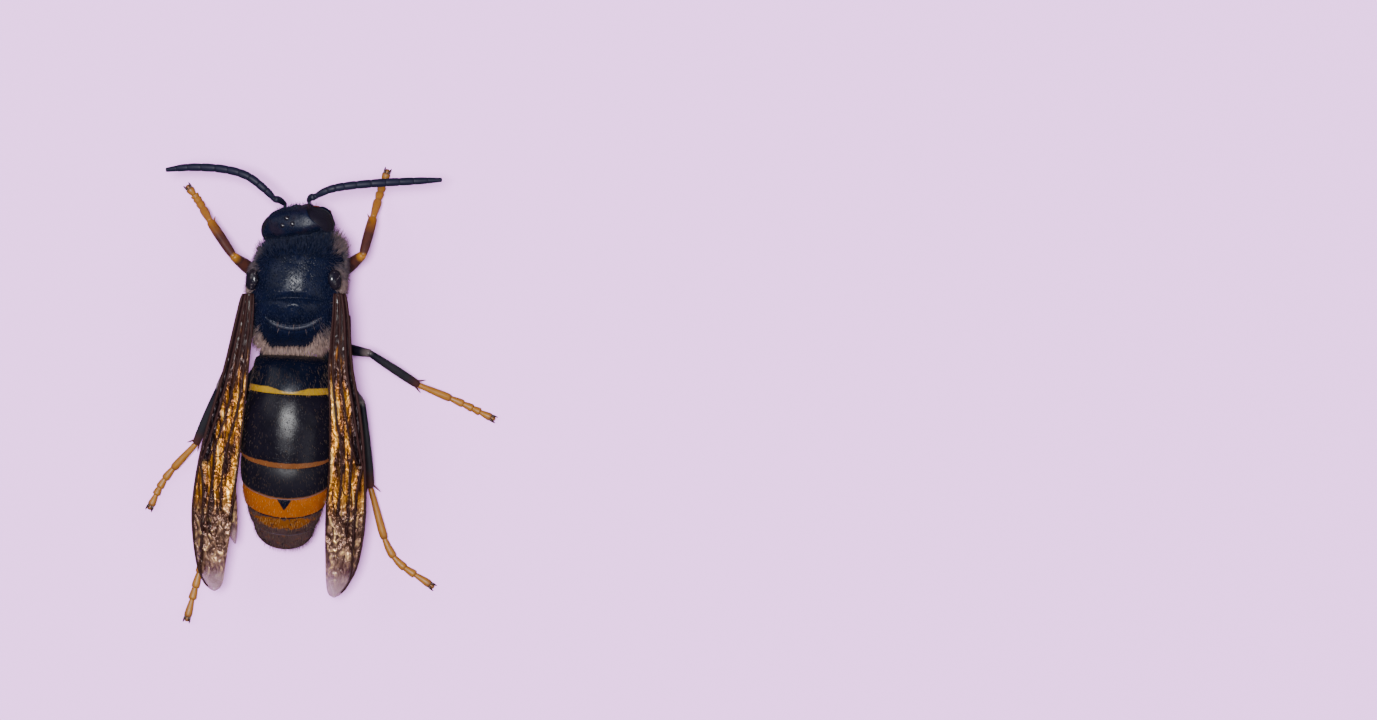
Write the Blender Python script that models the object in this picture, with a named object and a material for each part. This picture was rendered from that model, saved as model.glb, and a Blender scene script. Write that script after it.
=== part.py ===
"""Yellow-legged hornet, a worker, life size: plates, eyes, feelers, wings and legs as separate solids.

The insect looks along +Y and stands on the floor at z = 0. All sizes below are millimetres.
Left and right are the insect's own: its left side is at -X.
"""

import math

import bmesh
import bpy
from mathutils import Matrix, Vector

MM = 0.001
GAP = 0.30
SIDES = {"left": -1, "right": 1}

X_AXIS = Vector((1, 0, 0))
Y_AXIS = Vector((0, 1, 0))
Z_AXIS = Vector((0, 0, 1))

# Thorax: distance along Y, half width, underside, top, middle line, how far the sides sweep back,
# and how far the right side stands ahead of the left one for each millimetre across
THORAX = (
    (10.34, 1.25, 3.55, 5.00, -1.30, 0.00, 0.14),
    (10.20, 2.05, 3.05, 5.62, -1.27, 0.04, 0.16),
    (9.92, 2.58, 2.60, 6.12, -1.24, 0.14, 0.17),
    (9.46, 2.92, 2.32, 6.48, -1.26, 0.42, 0.14),
    (8.70, 3.08, 2.15, 6.70, -1.34, 0.82, 0.08),
    (7.60, 3.00, 2.05, 6.85, -1.48, 0.92, 0.02),
    (6.40, 2.95, 2.00, 6.80, -1.51, 0.45, 0.00),
    (5.40, 2.88, 2.02, 6.55, -1.53, 0.10, 0.00),
    (4.60, 2.74, 2.10, 6.10, -1.56, 0.00, 0.00),
    (3.90, 2.50, 2.25, 5.45, -1.60, 0.00, 0.00),
    (3.40, 2.12, 2.42, 4.78, -1.64, 0.00, 0.00),
    (3.08, 1.50, 2.68, 4.22, -1.66, 0.00, 0.00),
)
THORAX_POWER = 2.12
THORAX_SIDES = 26
PRONOTUM_REAR = 8.62
MESOTHORAX_REAR = 4.98
RING_STEPS = {"pronotum": 0.19, "mesothorax": 0.36, "propodeum": 0.32}

# Back of the thorax: two furrows across it and the swelling of the scutellum between them
SCUTELLUM_FRONT = 6.43
SCUTELLUM_REAR = 4.62
SCUTELLUM_RISE = 0.16
FURROW_DEPTH = 0.15
FURROW_WIDTH = 0.22
BACK_HALF_WIDTH = 2.1

# Gaster joints: middle along Y, middle height, middle line, backward lean of the plane, half width, rise, drop
GASTER = {
    "waist": (2.75, 3.25, -1.68, 0.0, 0.55, 0.50, 0.50),
    "front_face": (2.58, 3.50, -1.70, 0.0, 1.80, 1.35, 1.15),
    "shoulder": (2.30, 3.74, -1.73, 1.0, 2.30, 1.86, 1.60),
    "front_back": (1.70, 3.92, -1.77, 3.0, 2.48, 2.08, 1.86),
    "first_joint": (0.36, 4.05, -1.84, 6.0, 2.64, 2.20, 2.05),
    "second_joint": (-4.02, 3.70, -2.08, 17.0, 2.97, 2.35, 2.25),
    "third_joint": (-5.97, 3.35, -2.18, 22.0, 2.85, 2.10, 2.02),
    "fourth_joint": (-7.26, 3.00, -2.25, 25.0, 2.56, 1.75, 1.72),
    "fifth_joint": (-8.44, 2.65, -2.30, 30.0, 2.02, 1.32, 1.30),
    "tail": (-9.86, 2.10, -2.36, 30.0, 0.30, 0.22, 0.22),
}
GASTER_POWER = 2.1
GASTER_SIDES = 26
# How far a plate's right side lies behind its middle for each millimetre across
GASTER_YAW = 0.055
PLATE_LIP = 0.07

# Head, in its own frame: +Y out of the face, +Z up; it is turned and tilted a little to the left
HEAD_CENTRE = Vector((-1.26, 11.30, 4.00))
HEAD_TURN = math.radians(8)
HEAD_TILT = math.radians(-16)
# Height, half width, front, back
HEAD = (
    (2.42, 0.72, 0.36, -0.36),
    (2.30, 1.35, 0.66, -0.60),
    (2.02, 1.93, 0.90, -0.78),
    (1.45, 2.40, 1.07, -0.90),
    (0.60, 2.66, 1.15, -0.94),
    (-0.25, 2.60, 1.18, -0.90),
    (-1.00, 2.28, 1.20, -0.80),
    (-1.60, 1.84, 1.16, -0.64),
    (-2.02, 1.36, 1.06, -0.44),
    (-2.20, 0.97, 0.92, -0.25),
)
HEAD_POWER = 2.8
HEAD_SIDES = 28
HEAD_STEPS = 17
NAPE_HOLLOW = 0.32
CLYPEUS_CENTRE = (0.0, 0.88, -1.12)
CLYPEUS_RADII = (1.22, 0.44, 0.98)
OCELLUS_RADIUS = 0.15
OCELLUS_SPREAD = 0.36

EYE_FACING = math.radians(38)
EYE_SEAT = 1.30
EYE_CENTRE = (1.37, -0.13, 0.42)
EYE_RADII = (0.97, 1.10, 1.78)

# Jaw: middle of each level in the head's frame, half width along the jaw's own slant, half depth
MANDIBLE = (
    (0.80, 0.60, -2.54, 0.62, 0.32),
    (0.72, 0.68, -2.76, 0.58, 0.36),
    (0.56, 0.78, -3.02, 0.42, 0.32),
    (0.38, 0.88, -3.26, 0.20, 0.22),
)
MANDIBLE_SLANT = math.radians(10)
MANDIBLE_SIDES = 12

# Feelers: where the scape leaves the face, the elbow, and the run of the flagellum, in the part's frame
SOCKET = {"left": (-0.78, 1.12, 0.10), "right": (0.90, 1.12, 0.10)}
ELBOW = {"left": (-2.80, 12.86, 5.55), "right": (-0.22, 12.98, 5.92)}
FLAGELLUM = {
    "left": ((-3.38, 13.47, 5.86), (-4.60, 14.39, 5.80), (-6.25, 14.85, 5.40), (-8.30, 14.97, 4.90),
             (-9.98, 14.81, 4.50)),
    "right": ((0.72, 13.45, 6.20), (1.95, 13.71, 6.15), (4.00, 13.92, 5.80), (6.04, 14.04, 5.30),
              (8.12, 14.15, 4.85)),
}
SCAPE_RADII = (0.20, 0.21, 0.23, 0.24)
FLAGELLUM_RADII = (0.19, 0.24, 0.26, 0.27, 0.27, 0.27, 0.26, 0.23, 0.15)
FLAGELLUM_RINGS = 12

# Legs: thorax station and angle of the hip, then coxa tip, knee, ankle, and the foot's bend and toe
HIP = {"front": (8.45, -58), "mid": (6.60, -56), "hind": (4.05, -66)}
LEGS = {
    "front_left": (
        (-4.02, 7.90, 1.12), (-5.64, 9.18, 3.20), (-7.23, 11.48, 1.95), (-8.12, 12.88), (-8.72, 13.68)),
    "front_right": (
        (1.20, 8.02, 1.12), (2.87, 9.27, 3.20), (3.48, 11.74, 1.95), (3.92, 13.50), (4.31, 14.69)),
    "mid_left": (
        (-4.25, 5.35, 1.40), (-6.62, 0.45, 2.95), (-8.24, -3.16, 0.95), (-10.26, -5.39), (-11.27, -7.26)),
    "mid_right": (
        (1.05, 3.85, 1.28), (3.36, 2.79, 3.60), (6.42, 0.72, 0.95), (9.10, -0.42), (11.22, -1.45)),
    "hind_left": (
        (-3.80, 2.45, 1.48), (-5.80, -1.50, 3.10), (-6.75, -7.05, 0.95), (-8.10, -11.80), (-8.85, -14.62)),
    "hind_right": (
        (0.42, 2.30, 1.45), (2.82, -0.52, 3.10), (3.27, -6.07, 0.95), (4.62, -10.40), (7.20, -12.50)),
}
FEMUR_RADII = {
    "front": (0.30, 0.44, 0.42, 0.30), "mid": (0.28, 0.34, 0.33, 0.28), "hind": (0.30, 0.38, 0.34, 0.28)}
TIBIA_RADII = {
    "front": (0.27, 0.30, 0.33, 0.28), "mid": (0.26, 0.26, 0.30, 0.27), "hind": (0.26, 0.27, 0.33, 0.28)}
TARSUS_RADIUS = {"front": 0.29, "mid": 0.265, "hind": 0.27}
COXA_RADII = (0.54, 0.54, 0.34)
HIP_CLEARANCE = GAP + 0.06
COXA_RINGS = 5
TOE_SHARES = (0.44, 0.17, 0.13, 0.10, 0.16)
# A foot reaches the floor this share of its length past its first toe piece, on a curve of this power
FOOT_DESCENT = 0.20
FOOT_CURVE = 1.6
FOOT_POINTS = 41
FLOOR_PRESS = 0.02
LIMB_SIDES = 8
CLAW_LENGTH = 0.56
CLAW_SPREAD = math.radians(26)
CLAW_RADIUS = 0.13

# Wings, folded lengthwise: distance along Y, outer edge, inner edge, height of the middle
FOREWING = {
    "left": (
        (6.70, -4.86, -4.12, 6.18), (5.40, -5.20, -4.12, 6.08), (1.77, -6.10, -4.46, 5.68),
        (-3.14, -7.58, -4.98, 5.15), (-6.42, -8.20, -5.41, 4.65), (-8.46, -8.30, -5.69, 4.30),
        (-11.20, -7.98, -6.13, 3.80), (-12.20, -7.60, -6.30, 3.62), (-12.73, -7.05, -6.66, 3.52)),
    "right": (
        (6.70, 1.82, 1.08, 6.18), (5.40, 2.04, 1.02, 6.08), (1.77, 2.28, 0.70, 5.68),
        (-0.85, 2.76, 0.76, 5.46), (-4.36, 3.08, 0.72, 5.10), (-8.07, 3.08, 0.46, 4.40),
        (-11.13, 2.56, 0.44, 3.85), (-12.55, 1.86, 0.50, 3.60), (-13.19, 1.15, 0.78, 3.50)),
}
HINDWING = {
    "left": ((5.30, -5.12, -4.66, 4.82), (1.77, -5.95, -5.00, 4.64), (-3.14, -6.95, -5.55, 4.10),
             (-6.42, -6.90, -5.40, 3.64), (-8.60, -6.20, -5.35, 3.30), (-9.70, -5.62, -5.42, 3.10)),
    "right": ((5.30, 2.10, 1.64, 4.82), (1.77, 2.20, 1.25, 4.64), (-3.14, 2.75, 1.35, 4.10),
              (-6.42, 2.35, 0.95, 3.64), (-8.60, 1.60, 0.75, 3.30), (-9.70, 1.10, 0.88, 3.10)),
}
# The scale in front of each wing's root
TEGULA_MIDDLE = -1.54
TEGULA_OFFSET = 2.68
TEGULA_STATION = 7.60
TEGULA_HEIGHT = 6.42
TEGULA_RADII = (0.42, 0.62, 0.27)
TEGULA_LEAN = math.radians(40)
WING_THICKNESS = 0.50
WING_TIP_THICKNESS = 0.36
WING_ROLL = 0.16
VEIN_HEIGHT = 0.13
# Columns across a wing, from its outer edge to its inner one, and which of them carry a vein
FOREWING_COLUMNS = (
    (0.0, 0), (0.08, 1), (0.20, 0), (0.36, 0), (0.44, 1), (0.52, 0), (0.68, 0), (0.76, 1), (0.86, 0), (1.0, 0))
HINDWING_COLUMNS = ((0.0, 0), (0.14, 1), (0.34, 0), (0.58, 1), (0.80, 0), (1.0, 0))
FOREWING_ROWS = 27
HINDWING_ROWS = 15
CROSS_VEINS = (0.46, 0.58, 0.70, 0.80)

BLACK = (0.012, 0.013, 0.020)
DARK_BROWN = (0.040, 0.018, 0.012)
ORANGE = (0.55, 0.17, 0.02)
YELLOW = (0.62, 0.33, 0.03)
SMOKE = (0.10, 0.045, 0.020)


def clear_scene():
    """Remove every object that the file starts with."""
    for old in list(bpy.data.objects):
        bpy.data.objects.remove(old, do_unlink=True)


def finish(name, colour, roughness, metallic=0.0):
    """A plain surface of one colour."""
    material = bpy.data.materials.new(name)
    material.use_nodes = True
    shader = material.node_tree.nodes["Principled BSDF"]
    shader.inputs["Base Color"].default_value = (*colour, 1.0)
    shader.inputs["Roughness"].default_value = roughness
    shader.inputs["Metallic"].default_value = metallic
    return material


def add_part(name, body, colour, roughness, pivot, frame):
    """Turn a closed skin in millimetres into an object whose origin is its own pivot."""
    pivot = Vector(pivot)
    bmesh.ops.translate(body, verts=body.verts, vec=-pivot)
    bmesh.ops.scale(body, verts=body.verts, vec=(MM, MM, MM))
    mesh = bpy.data.meshes.new(name)
    body.to_mesh(mesh)
    body.free()
    mesh.shade_smooth()
    mesh.set_sharp_from_angle(angle=math.radians(50))
    mesh.materials.append(finish(name, colour, roughness))
    part = bpy.data.objects.new(name, mesh)
    part.location = pivot * MM
    part.parent = frame
    bpy.context.scene.collection.objects.link(part)
    return part


def blend(rows, position):
    """Smooth values at a position between rows of (position, value, value, ...), rows in falling order."""
    position = min(max(position, rows[-1][0]), rows[0][0])
    index = next(i for i in range(len(rows) - 1) if position >= rows[i + 1][0])
    here, there = rows[index], rows[index + 1]
    before = rows[max(index - 1, 0)]
    after = rows[min(index + 2, len(rows) - 1)]
    span = there[0] - here[0]
    share = (position - here[0]) / span
    values = []
    for column in range(1, len(here)):
        slope_here = (there[column] - before[column]) / (there[0] - before[0]) * span
        slope_there = (after[column] - here[column]) / (after[0] - here[0]) * span
        square, cube = share ** 2, share ** 3
        values.append((2 * cube - 3 * square + 1) * here[column] + (cube - 2 * square + share) * slope_here
                      + (3 * square - 2 * cube) * there[column] + (cube - square) * slope_there)
    return values


def spread(first, last, count):
    """Evenly spaced numbers, both ends included."""
    return [first + (last - first) * step / (count - 1) for step in range(count)]


def oval(centre, side, up, half_width, rise, drop, power, count):
    """A closed superellipse that may be taller above its centre than below."""
    points = []
    for step in range(count):
        angle = math.tau * (step + 0.5) / count
        across = math.copysign(abs(math.cos(angle)) ** (2 / power), math.cos(angle))
        height = math.copysign(abs(math.sin(angle)) ** (2 / power), math.sin(angle))
        reach = rise if height > 0 else drop
        points.append(centre + side * (half_width * across) + up * (reach * height))
    return points


def loft(rings):
    """A closed skin through rings of equal count, each end closed by a fan to the middle of its ring."""
    body = bmesh.new()
    rows = [[body.verts.new(point) for point in ring] for ring in rings]
    count = len(rows[0])
    for near, far in zip(rows, rows[1:]):
        for index in range(count):
            after = (index + 1) % count
            body.faces.new((near[index], near[after], far[after], far[index]))
    for row in (rows[0], rows[-1]):
        middle = body.verts.new(sum((vertex.co for vertex in row), Vector()) / count)
        for index in range(count):
            body.faces.new((row[index], row[(index + 1) % count], middle))
    bmesh.ops.recalc_face_normals(body, faces=body.faces)
    return body


def through(points, count):
    """Evenly numbered points on a smooth curve through the given ones."""
    rows = [(-index, *point) for index, point in enumerate(points)]
    return [Vector(blend(rows, -position)) for position in spread(0, len(points) - 1, count)]


def tube(points, radii, sides=LIMB_SIDES, reference=Z_AXIS, planes=(None, None)):
    """A limb along a path; an end can be cut on a plane whose normal is given instead of square."""
    rows = [(-index, radius) for index, radius in enumerate(radii)]
    shares = spread(0, len(radii) - 1, len(points))
    rings = []
    for index, point in enumerate(points):
        before = points[max(index - 1, 0)]
        after = points[min(index + 1, len(points) - 1)]
        along = (after - before).normalized()
        side = along.cross(reference).normalized()
        up = side.cross(along)
        radius = blend(rows, -shares[index])[0]
        ring = oval(point, side, up, radius, radius, radius, 2, sides)
        normal = planes[0] if index == 0 else planes[1] if index == len(points) - 1 else None
        if normal is not None:
            ring = [corner - along * ((corner - point).dot(normal) / along.dot(normal)) for corner in ring]
        rings.append(ring)
    return rings


def ellipsoid(centre, radii, turn=0.0, segments=20, rings=12):
    """A closed ellipsoid, turned about Z."""
    body = bmesh.new()
    place = Matrix.Translation(centre) @ Matrix.Rotation(turn, 4, "Z") @ Matrix.Diagonal((*radii, 1))
    bmesh.ops.create_uvsphere(body, u_segments=segments, v_segments=rings, radius=1, matrix=place)
    return body


def slice_away(body, point, normal):
    """Cut off what lies beyond a plane and close the cut with a flat face."""
    geometry = body.verts[:] + body.edges[:] + body.faces[:]
    cut = bmesh.ops.bisect_plane(body, geom=geometry, dist=1e-5, plane_co=point, plane_no=normal, clear_outer=True)
    rim = [item for item in cut["geom_cut"] if isinstance(item, bmesh.types.BMEdge)]
    bmesh.ops.contextual_create(body, geom=rim)
    bmesh.ops.recalc_face_normals(body, faces=body.faces)


def fuse(bodies):
    """Union of closed skins, of which the largest closed surface is kept."""
    objects = []
    for body in bodies:
        mesh = bpy.data.meshes.new("piece")
        body.to_mesh(mesh)
        body.free()
        objects.append(bpy.data.objects.new("piece", mesh))
    others = bpy.data.collections.new("pieces")
    bpy.context.scene.collection.objects.link(objects[0])
    for other in objects[1:]:
        others.objects.link(other)
    union = objects[0].modifiers.new("union", "BOOLEAN")
    union.operation = "UNION"
    union.operand_type = "COLLECTION"
    union.collection = others
    union.solver = "EXACT"
    evaluated = objects[0].evaluated_get(bpy.context.evaluated_depsgraph_get())
    whole = bmesh.new()
    whole.from_mesh(evaluated.to_mesh())
    for piece in objects:
        bpy.data.objects.remove(piece, do_unlink=True)
    bpy.data.collections.remove(others)
    bmesh.ops.remove_doubles(whole, verts=whole.verts, dist=1e-4)
    keep_largest(whole)
    return whole


def keep_largest(body):
    """Delete every closed surface but the one with the most faces."""
    left = set(body.faces)
    shells = []
    while left:
        shell = set()
        edge_of_growth = [left.pop()]
        while edge_of_growth:
            face = edge_of_growth.pop()
            shell.add(face)
            for edge in face.edges:
                for neighbour in edge.link_faces:
                    if neighbour in left:
                        left.remove(neighbour)
                        edge_of_growth.append(neighbour)
        shells.append(shell)
    shells.sort(key=len)
    scraps = [face for shell in shells[:-1] for face in shell]
    bmesh.ops.delete(body, geom=scraps, context="FACES")


def back_relief(x_offset, y):
    """Height added to the back of the thorax: the scutellum's swelling and the furrows round it."""
    across = max(0.0, 1 - (x_offset / BACK_HALF_WIDTH) ** 2)
    middle = (SCUTELLUM_FRONT + SCUTELLUM_REAR) / 2
    reach = (SCUTELLUM_FRONT - SCUTELLUM_REAR) / 2
    swelling = SCUTELLUM_RISE * max(0.0, 1 - ((y - middle) / reach) ** 2)
    furrows = sum(math.exp(-((y - line) / FURROW_WIDTH) ** 2) for line in (SCUTELLUM_FRONT, SCUTELLUM_REAR))
    return across * (swelling - FURROW_DEPTH * furrows)


def thorax_ring(station):
    """One ring of the thorax, its sides swept back."""
    half_width, low, high, middle, sweep, lead = blend(THORAX, station)
    centre = Vector((middle, station, (low + high) / 2))
    reach = (high - low) / 2
    ring = oval(centre, X_AXIS, Z_AXIS, half_width, reach, reach, THORAX_POWER, THORAX_SIDES)
    for point in ring:
        offset = point.x - middle
        if point.z > centre.z:
            point.z += back_relief(offset, station)
        point.y += lead * offset - sweep * (offset / half_width) ** 2
    return ring


def thorax_band(name, front, rear):
    """The rings of one stretch of the thorax."""
    count = round((front - rear) / RING_STEPS[name]) + 1
    return [thorax_ring(station) for station in spread(front, rear, count)]


def make_thorax(frame):
    """Pronotum with the neck's seat, mesothorax with the scutellum, and propodeum."""
    front = THORAX[0][0]
    rear = THORAX[-1][0]
    half_gap = GAP / 2
    bands = {
        "pronotum": (front, PRONOTUM_REAR + half_gap),
        "mesothorax": (PRONOTUM_REAR - half_gap, MESOTHORAX_REAR + half_gap),
        "propodeum": (MESOTHORAX_REAR - half_gap, rear),
    }
    for name, (start, end) in bands.items():
        pivot = (THORAX[4][4], (start + end) / 2, THORAX[0][2])
        add_part(name, loft(thorax_band(name, start, end)), BLACK, 0.45, pivot, frame)


def gaster_ring(row, swell=0.0):
    """One ring of the gaster on its leaning plane."""
    y, z, x, lean, half_width, rise, drop = row
    tilt = math.radians(lean)
    up = Vector((0, -math.sin(tilt), math.cos(tilt)))
    centre = Vector((x, y, z))
    across = Vector((1, -GASTER_YAW, 0))
    return oval(centre, across, up, half_width + swell, rise + swell, drop + swell, GASTER_POWER, GASTER_SIDES)


def gaster_band(rows, front, rear, lips, count):
    """Rings between two middle positions along Y, widening a little towards the plate's free edge."""
    rings = []
    for share, y in zip(spread(0, 1, count), spread(front, rear, count)):
        swell = lips * PLATE_LIP * (share ** 2 - 0.5)
        rings.append(gaster_ring((y, *blend(rows, y)), swell))
    return rings


def make_gaster(frame):
    """Six plates, each with its free edge at the rear, set one behind the other on leaning planes."""
    rows = list(GASTER.values())
    half_gap = GAP / 2
    joints = [GASTER["waist"][0]] + [row[0] for name, row in GASTER.items() if name.endswith("joint")]
    joints.append(GASTER["tail"][0])
    colours = (BLACK, BLACK, BLACK, ORANGE, ORANGE, DARK_BROWN)
    counts = (8, 8, 5, 4, 4, 7)
    for index, (colour, count) in enumerate(zip(colours, counts)):
        front = joints[index] - (half_gap if index else 0)
        rear = joints[index + 1] + (half_gap if index < 5 else 0)
        if index == 0:
            stations = [front, 2.67, 2.58, 2.46, 2.30, 2.00, 1.65, 1.1, rear]
            rings = [gaster_ring((y, *blend(rows, y))) for y in stations]
        elif index == 5:
            rings = tail_rings(front)
        else:
            rings = gaster_band(rows, front, rear, 1.0, count)
        middle = blend(rows, (front + rear) / 2)
        pivot = (middle[1], (front + rear) / 2, middle[0])
        add_part(f"gaster_{index + 1}", loft(rings), colour, 0.35, pivot, frame)


def tail_rings(front):
    """The last plate: a blunt cone that rounds off at the sting's opening."""
    start = GASTER["fifth_joint"]
    end = GASTER["tail"]
    rings = []
    for share in (0.0, 0.22, 0.44, 0.64, 0.80, 0.92, 1.0):
        y, z, x, lean = (start[i] + (end[i] - start[i]) * share for i in range(4))
        fullness = math.sqrt(max(0.0, 1 - share ** 2.1))
        sizes = [end[i] + (start[i] - end[i]) * fullness for i in range(4, 7)]
        rings.append(gaster_ring((y - GAP / 2 * (1 - share), z, x, lean, *sizes)))
    return rings


def head_place():
    """The head's own frame in the part's frame."""
    turn = Matrix.Rotation(HEAD_TURN, 4, "Z") @ Matrix.Rotation(HEAD_TILT, 4, "Y")
    return Matrix.Translation(HEAD_CENTRE) @ turn


def head_ring(height):
    """One level of the head, hollowed a little at the nape."""
    half_width, front, back = blend(HEAD, height)
    centre = Vector((0, 0, height))
    ring = oval(centre, X_AXIS, Y_AXIS, half_width, front, -back, HEAD_POWER, HEAD_SIDES)
    for point in ring:
        if point.y < 0:
            across = max(0.0, 1 - (point.x / half_width) ** 2)
            point.y += NAPE_HOLLOW * across * math.exp(-((height - 0.2) / 1.3) ** 2)
    return ring


def eye_normal(side):
    """The way that an eye looks."""
    return Vector((side * math.cos(EYE_FACING), math.sin(EYE_FACING), 0))


def make_head(frame):
    """Head capsule with clypeus and ocelli, the two compound eyes on flat seats, and the mandibles."""
    place = head_place()
    capsule = loft([head_ring(height) for height in spread(HEAD[0][0], HEAD[-1][0], HEAD_STEPS)])
    for side in SIDES.values():
        normal = eye_normal(side)
        slice_away(capsule, normal * EYE_SEAT, normal)
    bodies = [capsule, ellipsoid(CLYPEUS_CENTRE, CLYPEUS_RADII, segments=18, rings=10)]
    top = HEAD[0][0]
    for x, y, drop in ((0, 0.42, 0.12), (-OCELLUS_SPREAD, -0.02, 0.06), (OCELLUS_SPREAD, -0.02, 0.06)):
        bodies.append(ellipsoid((x, y, top - drop), [OCELLUS_RADIUS] * 3, segments=8, rings=6))
    head = fuse(bodies)
    head.transform(place)
    add_part("head", head, BLACK, 0.4, HEAD_CENTRE, frame)
    for name, side in SIDES.items():
        make_eye(name, side, place, frame)
        make_mandible(name, side, place, frame)


def make_eye(name, side, place, frame):
    """A tall oval eye whose flat back faces the head's seat."""
    centre = Vector((EYE_CENTRE[0] * side, EYE_CENTRE[1], EYE_CENTRE[2]))
    normal = eye_normal(side)
    eye = ellipsoid(centre, EYE_RADII, turn=EYE_FACING * side, segments=20, rings=14)
    slice_away(eye, normal * (EYE_SEAT + GAP), -normal)
    eye.transform(place)
    add_part(f"eye_{name}", eye, BLACK, 0.15, place @ centre, frame)


def make_mandible(name, side, place, frame):
    """A broad jaw under the clypeus that narrows inwards and down to a blunt tip."""
    slant = Vector((side * math.cos(MANDIBLE_SLANT), 0, math.sin(MANDIBLE_SLANT)))
    rings = []
    for x, y, z, half_width, half_depth in MANDIBLE:
        centre = Vector((x * side, y, z))
        rings.append(oval(centre, slant, Y_AXIS, half_width, half_depth, half_depth, 2.4, MANDIBLE_SIDES))
    jaw = loft(rings)
    jaw.transform(place)
    root = place @ Vector((MANDIBLE[0][0] * side, *MANDIBLE[0][1:3]))
    add_part(f"mandible_{name}", jaw, DARK_BROWN, 0.35, root, frame)


def make_antennae(frame):
    """Scape from the face up to the elbow, then the flagellum, a little thicker towards its end."""
    place = head_place()
    for name in SIDES:
        socket = place @ Vector(SOCKET[name])
        elbow = Vector(ELBOW[name])
        rise = (elbow - socket).normalized()
        out = place.to_3x3() @ Y_AXIS
        start = socket + out * (GAP + SCAPE_RADII[0])
        path = through((start, start.lerp(elbow, 0.5) + out * 0.08, elbow - rise * GAP * 0.5), 5)
        scape = loft(tube(path, SCAPE_RADII, reference=Y_AXIS))
        add_part(f"scape_{name}", scape, BLACK, 0.4, path[0], frame)
        first = Vector(FLAGELLUM[name][0])
        begin = elbow + (first - elbow).normalized() * (GAP + 0.12)
        path = through((begin, *FLAGELLUM[name]), FLAGELLUM_RINGS)
        add_part(f"flagellum_{name}", loft(tube(path, FLAGELLUM_RADII)), BLACK, 0.45, begin, frame)


def mitre(before, corner, after):
    """The normal of the plane that halves a bend, and how far each limb stops short of it."""
    arriving = (corner - before).normalized()
    leaving = (after - corner).normalized()
    normal = (arriving + leaving).normalized()
    return normal, GAP / 2 / arriving.dot(normal)


def hip_point(pair, side):
    """A point on the thorax's underside and the way it faces."""
    station, angle = HIP[pair]
    half_width, low, high, middle, sweep, lead = blend(THORAX, station)
    slope = math.radians(angle)
    reach = (high - low) / 2
    across = side * half_width * math.cos(slope)
    point = Vector((middle + across, station, (low + high) / 2 + reach * math.sin(slope)))
    point.y += lead * across - sweep * (across / half_width) ** 2
    facing = Vector((side * math.cos(slope) / half_width, 0, math.sin(slope) / reach)).normalized()
    return point, facing


def foot_path(ankle, bend, toe, radius):
    """Joints of the five toe pieces, on a curve that comes down from the ankle to the floor."""
    ground = radius * math.cos(math.pi / LIMB_SIDES) - FLOOR_PRESS
    plan = through((ankle, Vector((*bend, 0)), Vector((*toe, 0))), FOOT_POINTS)
    for point, share in zip(plan, spread(0, 1, FOOT_POINTS)):
        height = max(0.0, 1 - share / (TOE_SHARES[0] + FOOT_DESCENT))
        point.z = ground + (ankle.z - ground) * height ** FOOT_CURVE
    lengths = [0.0]
    for near, far in zip(plan, plan[1:]):
        lengths.append(lengths[-1] + (far - near).length)
    return plan, lengths


def point_along(plan, lengths, share):
    """The point at a share of a path's length."""
    target = share * lengths[-1]
    index = next((i for i in range(len(lengths) - 1) if lengths[i + 1] >= target), len(lengths) - 2)
    part = (target - lengths[index]) / (lengths[index + 1] - lengths[index])
    return plan[index].lerp(plan[index + 1], part)


def even_path(points, count):
    """Points on a smooth curve through the given ones, at even distances."""
    plan = through(points, FOOT_POINTS)
    lengths = [0.0]
    for near, far in zip(plan, plan[1:]):
        lengths.append(lengths[-1] + (far - near).length)
    return [point_along(plan, lengths, share) for share in spread(0, 1, count)]


def claw(root, heading, side):
    """One claw of a foot, curving out and down."""
    out = Matrix.Rotation(-side * CLAW_SPREAD, 3, "Z") @ heading
    path = []
    for share in (0.0, 0.4, 0.7, 1.0):
        step = heading.lerp(out, min(1, share * 1.5)) * (CLAW_LENGTH * share)
        path.append(root + step + Z_AXIS * (0.05 * math.sin(math.pi * share) - 0.06 * share ** 2))
    return loft(tube(path, (CLAW_RADIUS, 0.12, 0.09, 0.03), sides=6))


def make_tarsus(name, ankle_plane, ankle, bend, toe, radius, frame):
    """Five toe pieces, each widest at its far end, and two claws, with small flats on the floor."""
    plan, lengths = foot_path(ankle, bend, toe, radius)
    direction = (plan[1] - plan[0]).normalized()
    normal, short = ankle_plane
    total = lengths[-1]
    stations = [(short / total, 0.80)]
    reached = 0.0
    for index, share in enumerate(TOE_SHARES):
        if index:
            stations.append((reached + 0.012, 0.74))
        stations.append((reached + share * 0.80, 1.0))
        reached += share
        stations.append((min(reached - 0.012, 1.0), 0.90 if index < 4 else 0.72))
    path = [point_along(plan, lengths, share) for share, _ in stations]
    path[0] = ankle + direction * short
    rings = []
    for index, (point, (_, size)) in enumerate(zip(path, stations)):
        before = path[max(index - 1, 0)]
        after = path[min(index + 1, len(path) - 1)]
        along = (after - before).normalized()
        side = along.cross(Z_AXIS).normalized()
        up = side.cross(along)
        ring = oval(point, side, up, radius * size, radius * size, radius * size, 2, LIMB_SIDES)
        if index == 0:
            ring = [corner - along * ((corner - point).dot(normal) / along.dot(normal)) for corner in ring]
        rings.append(ring)
    heading = (path[-1] - path[-3]).normalized()
    heading.z = 0
    bodies = [loft(rings)]
    for side in SIDES.values():
        across = heading.cross(Z_AXIS) * side
        root = path[-1] - heading * 0.22 + across * 0.08
        bodies.append(claw(root, heading, side))
    foot = fuse(bodies)
    for vertex in foot.verts:
        vertex.co.z = max(vertex.co.z, 0.0)
    add_part(f"tarsus_{name}", foot, YELLOW, 0.5, ankle, frame)


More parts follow.
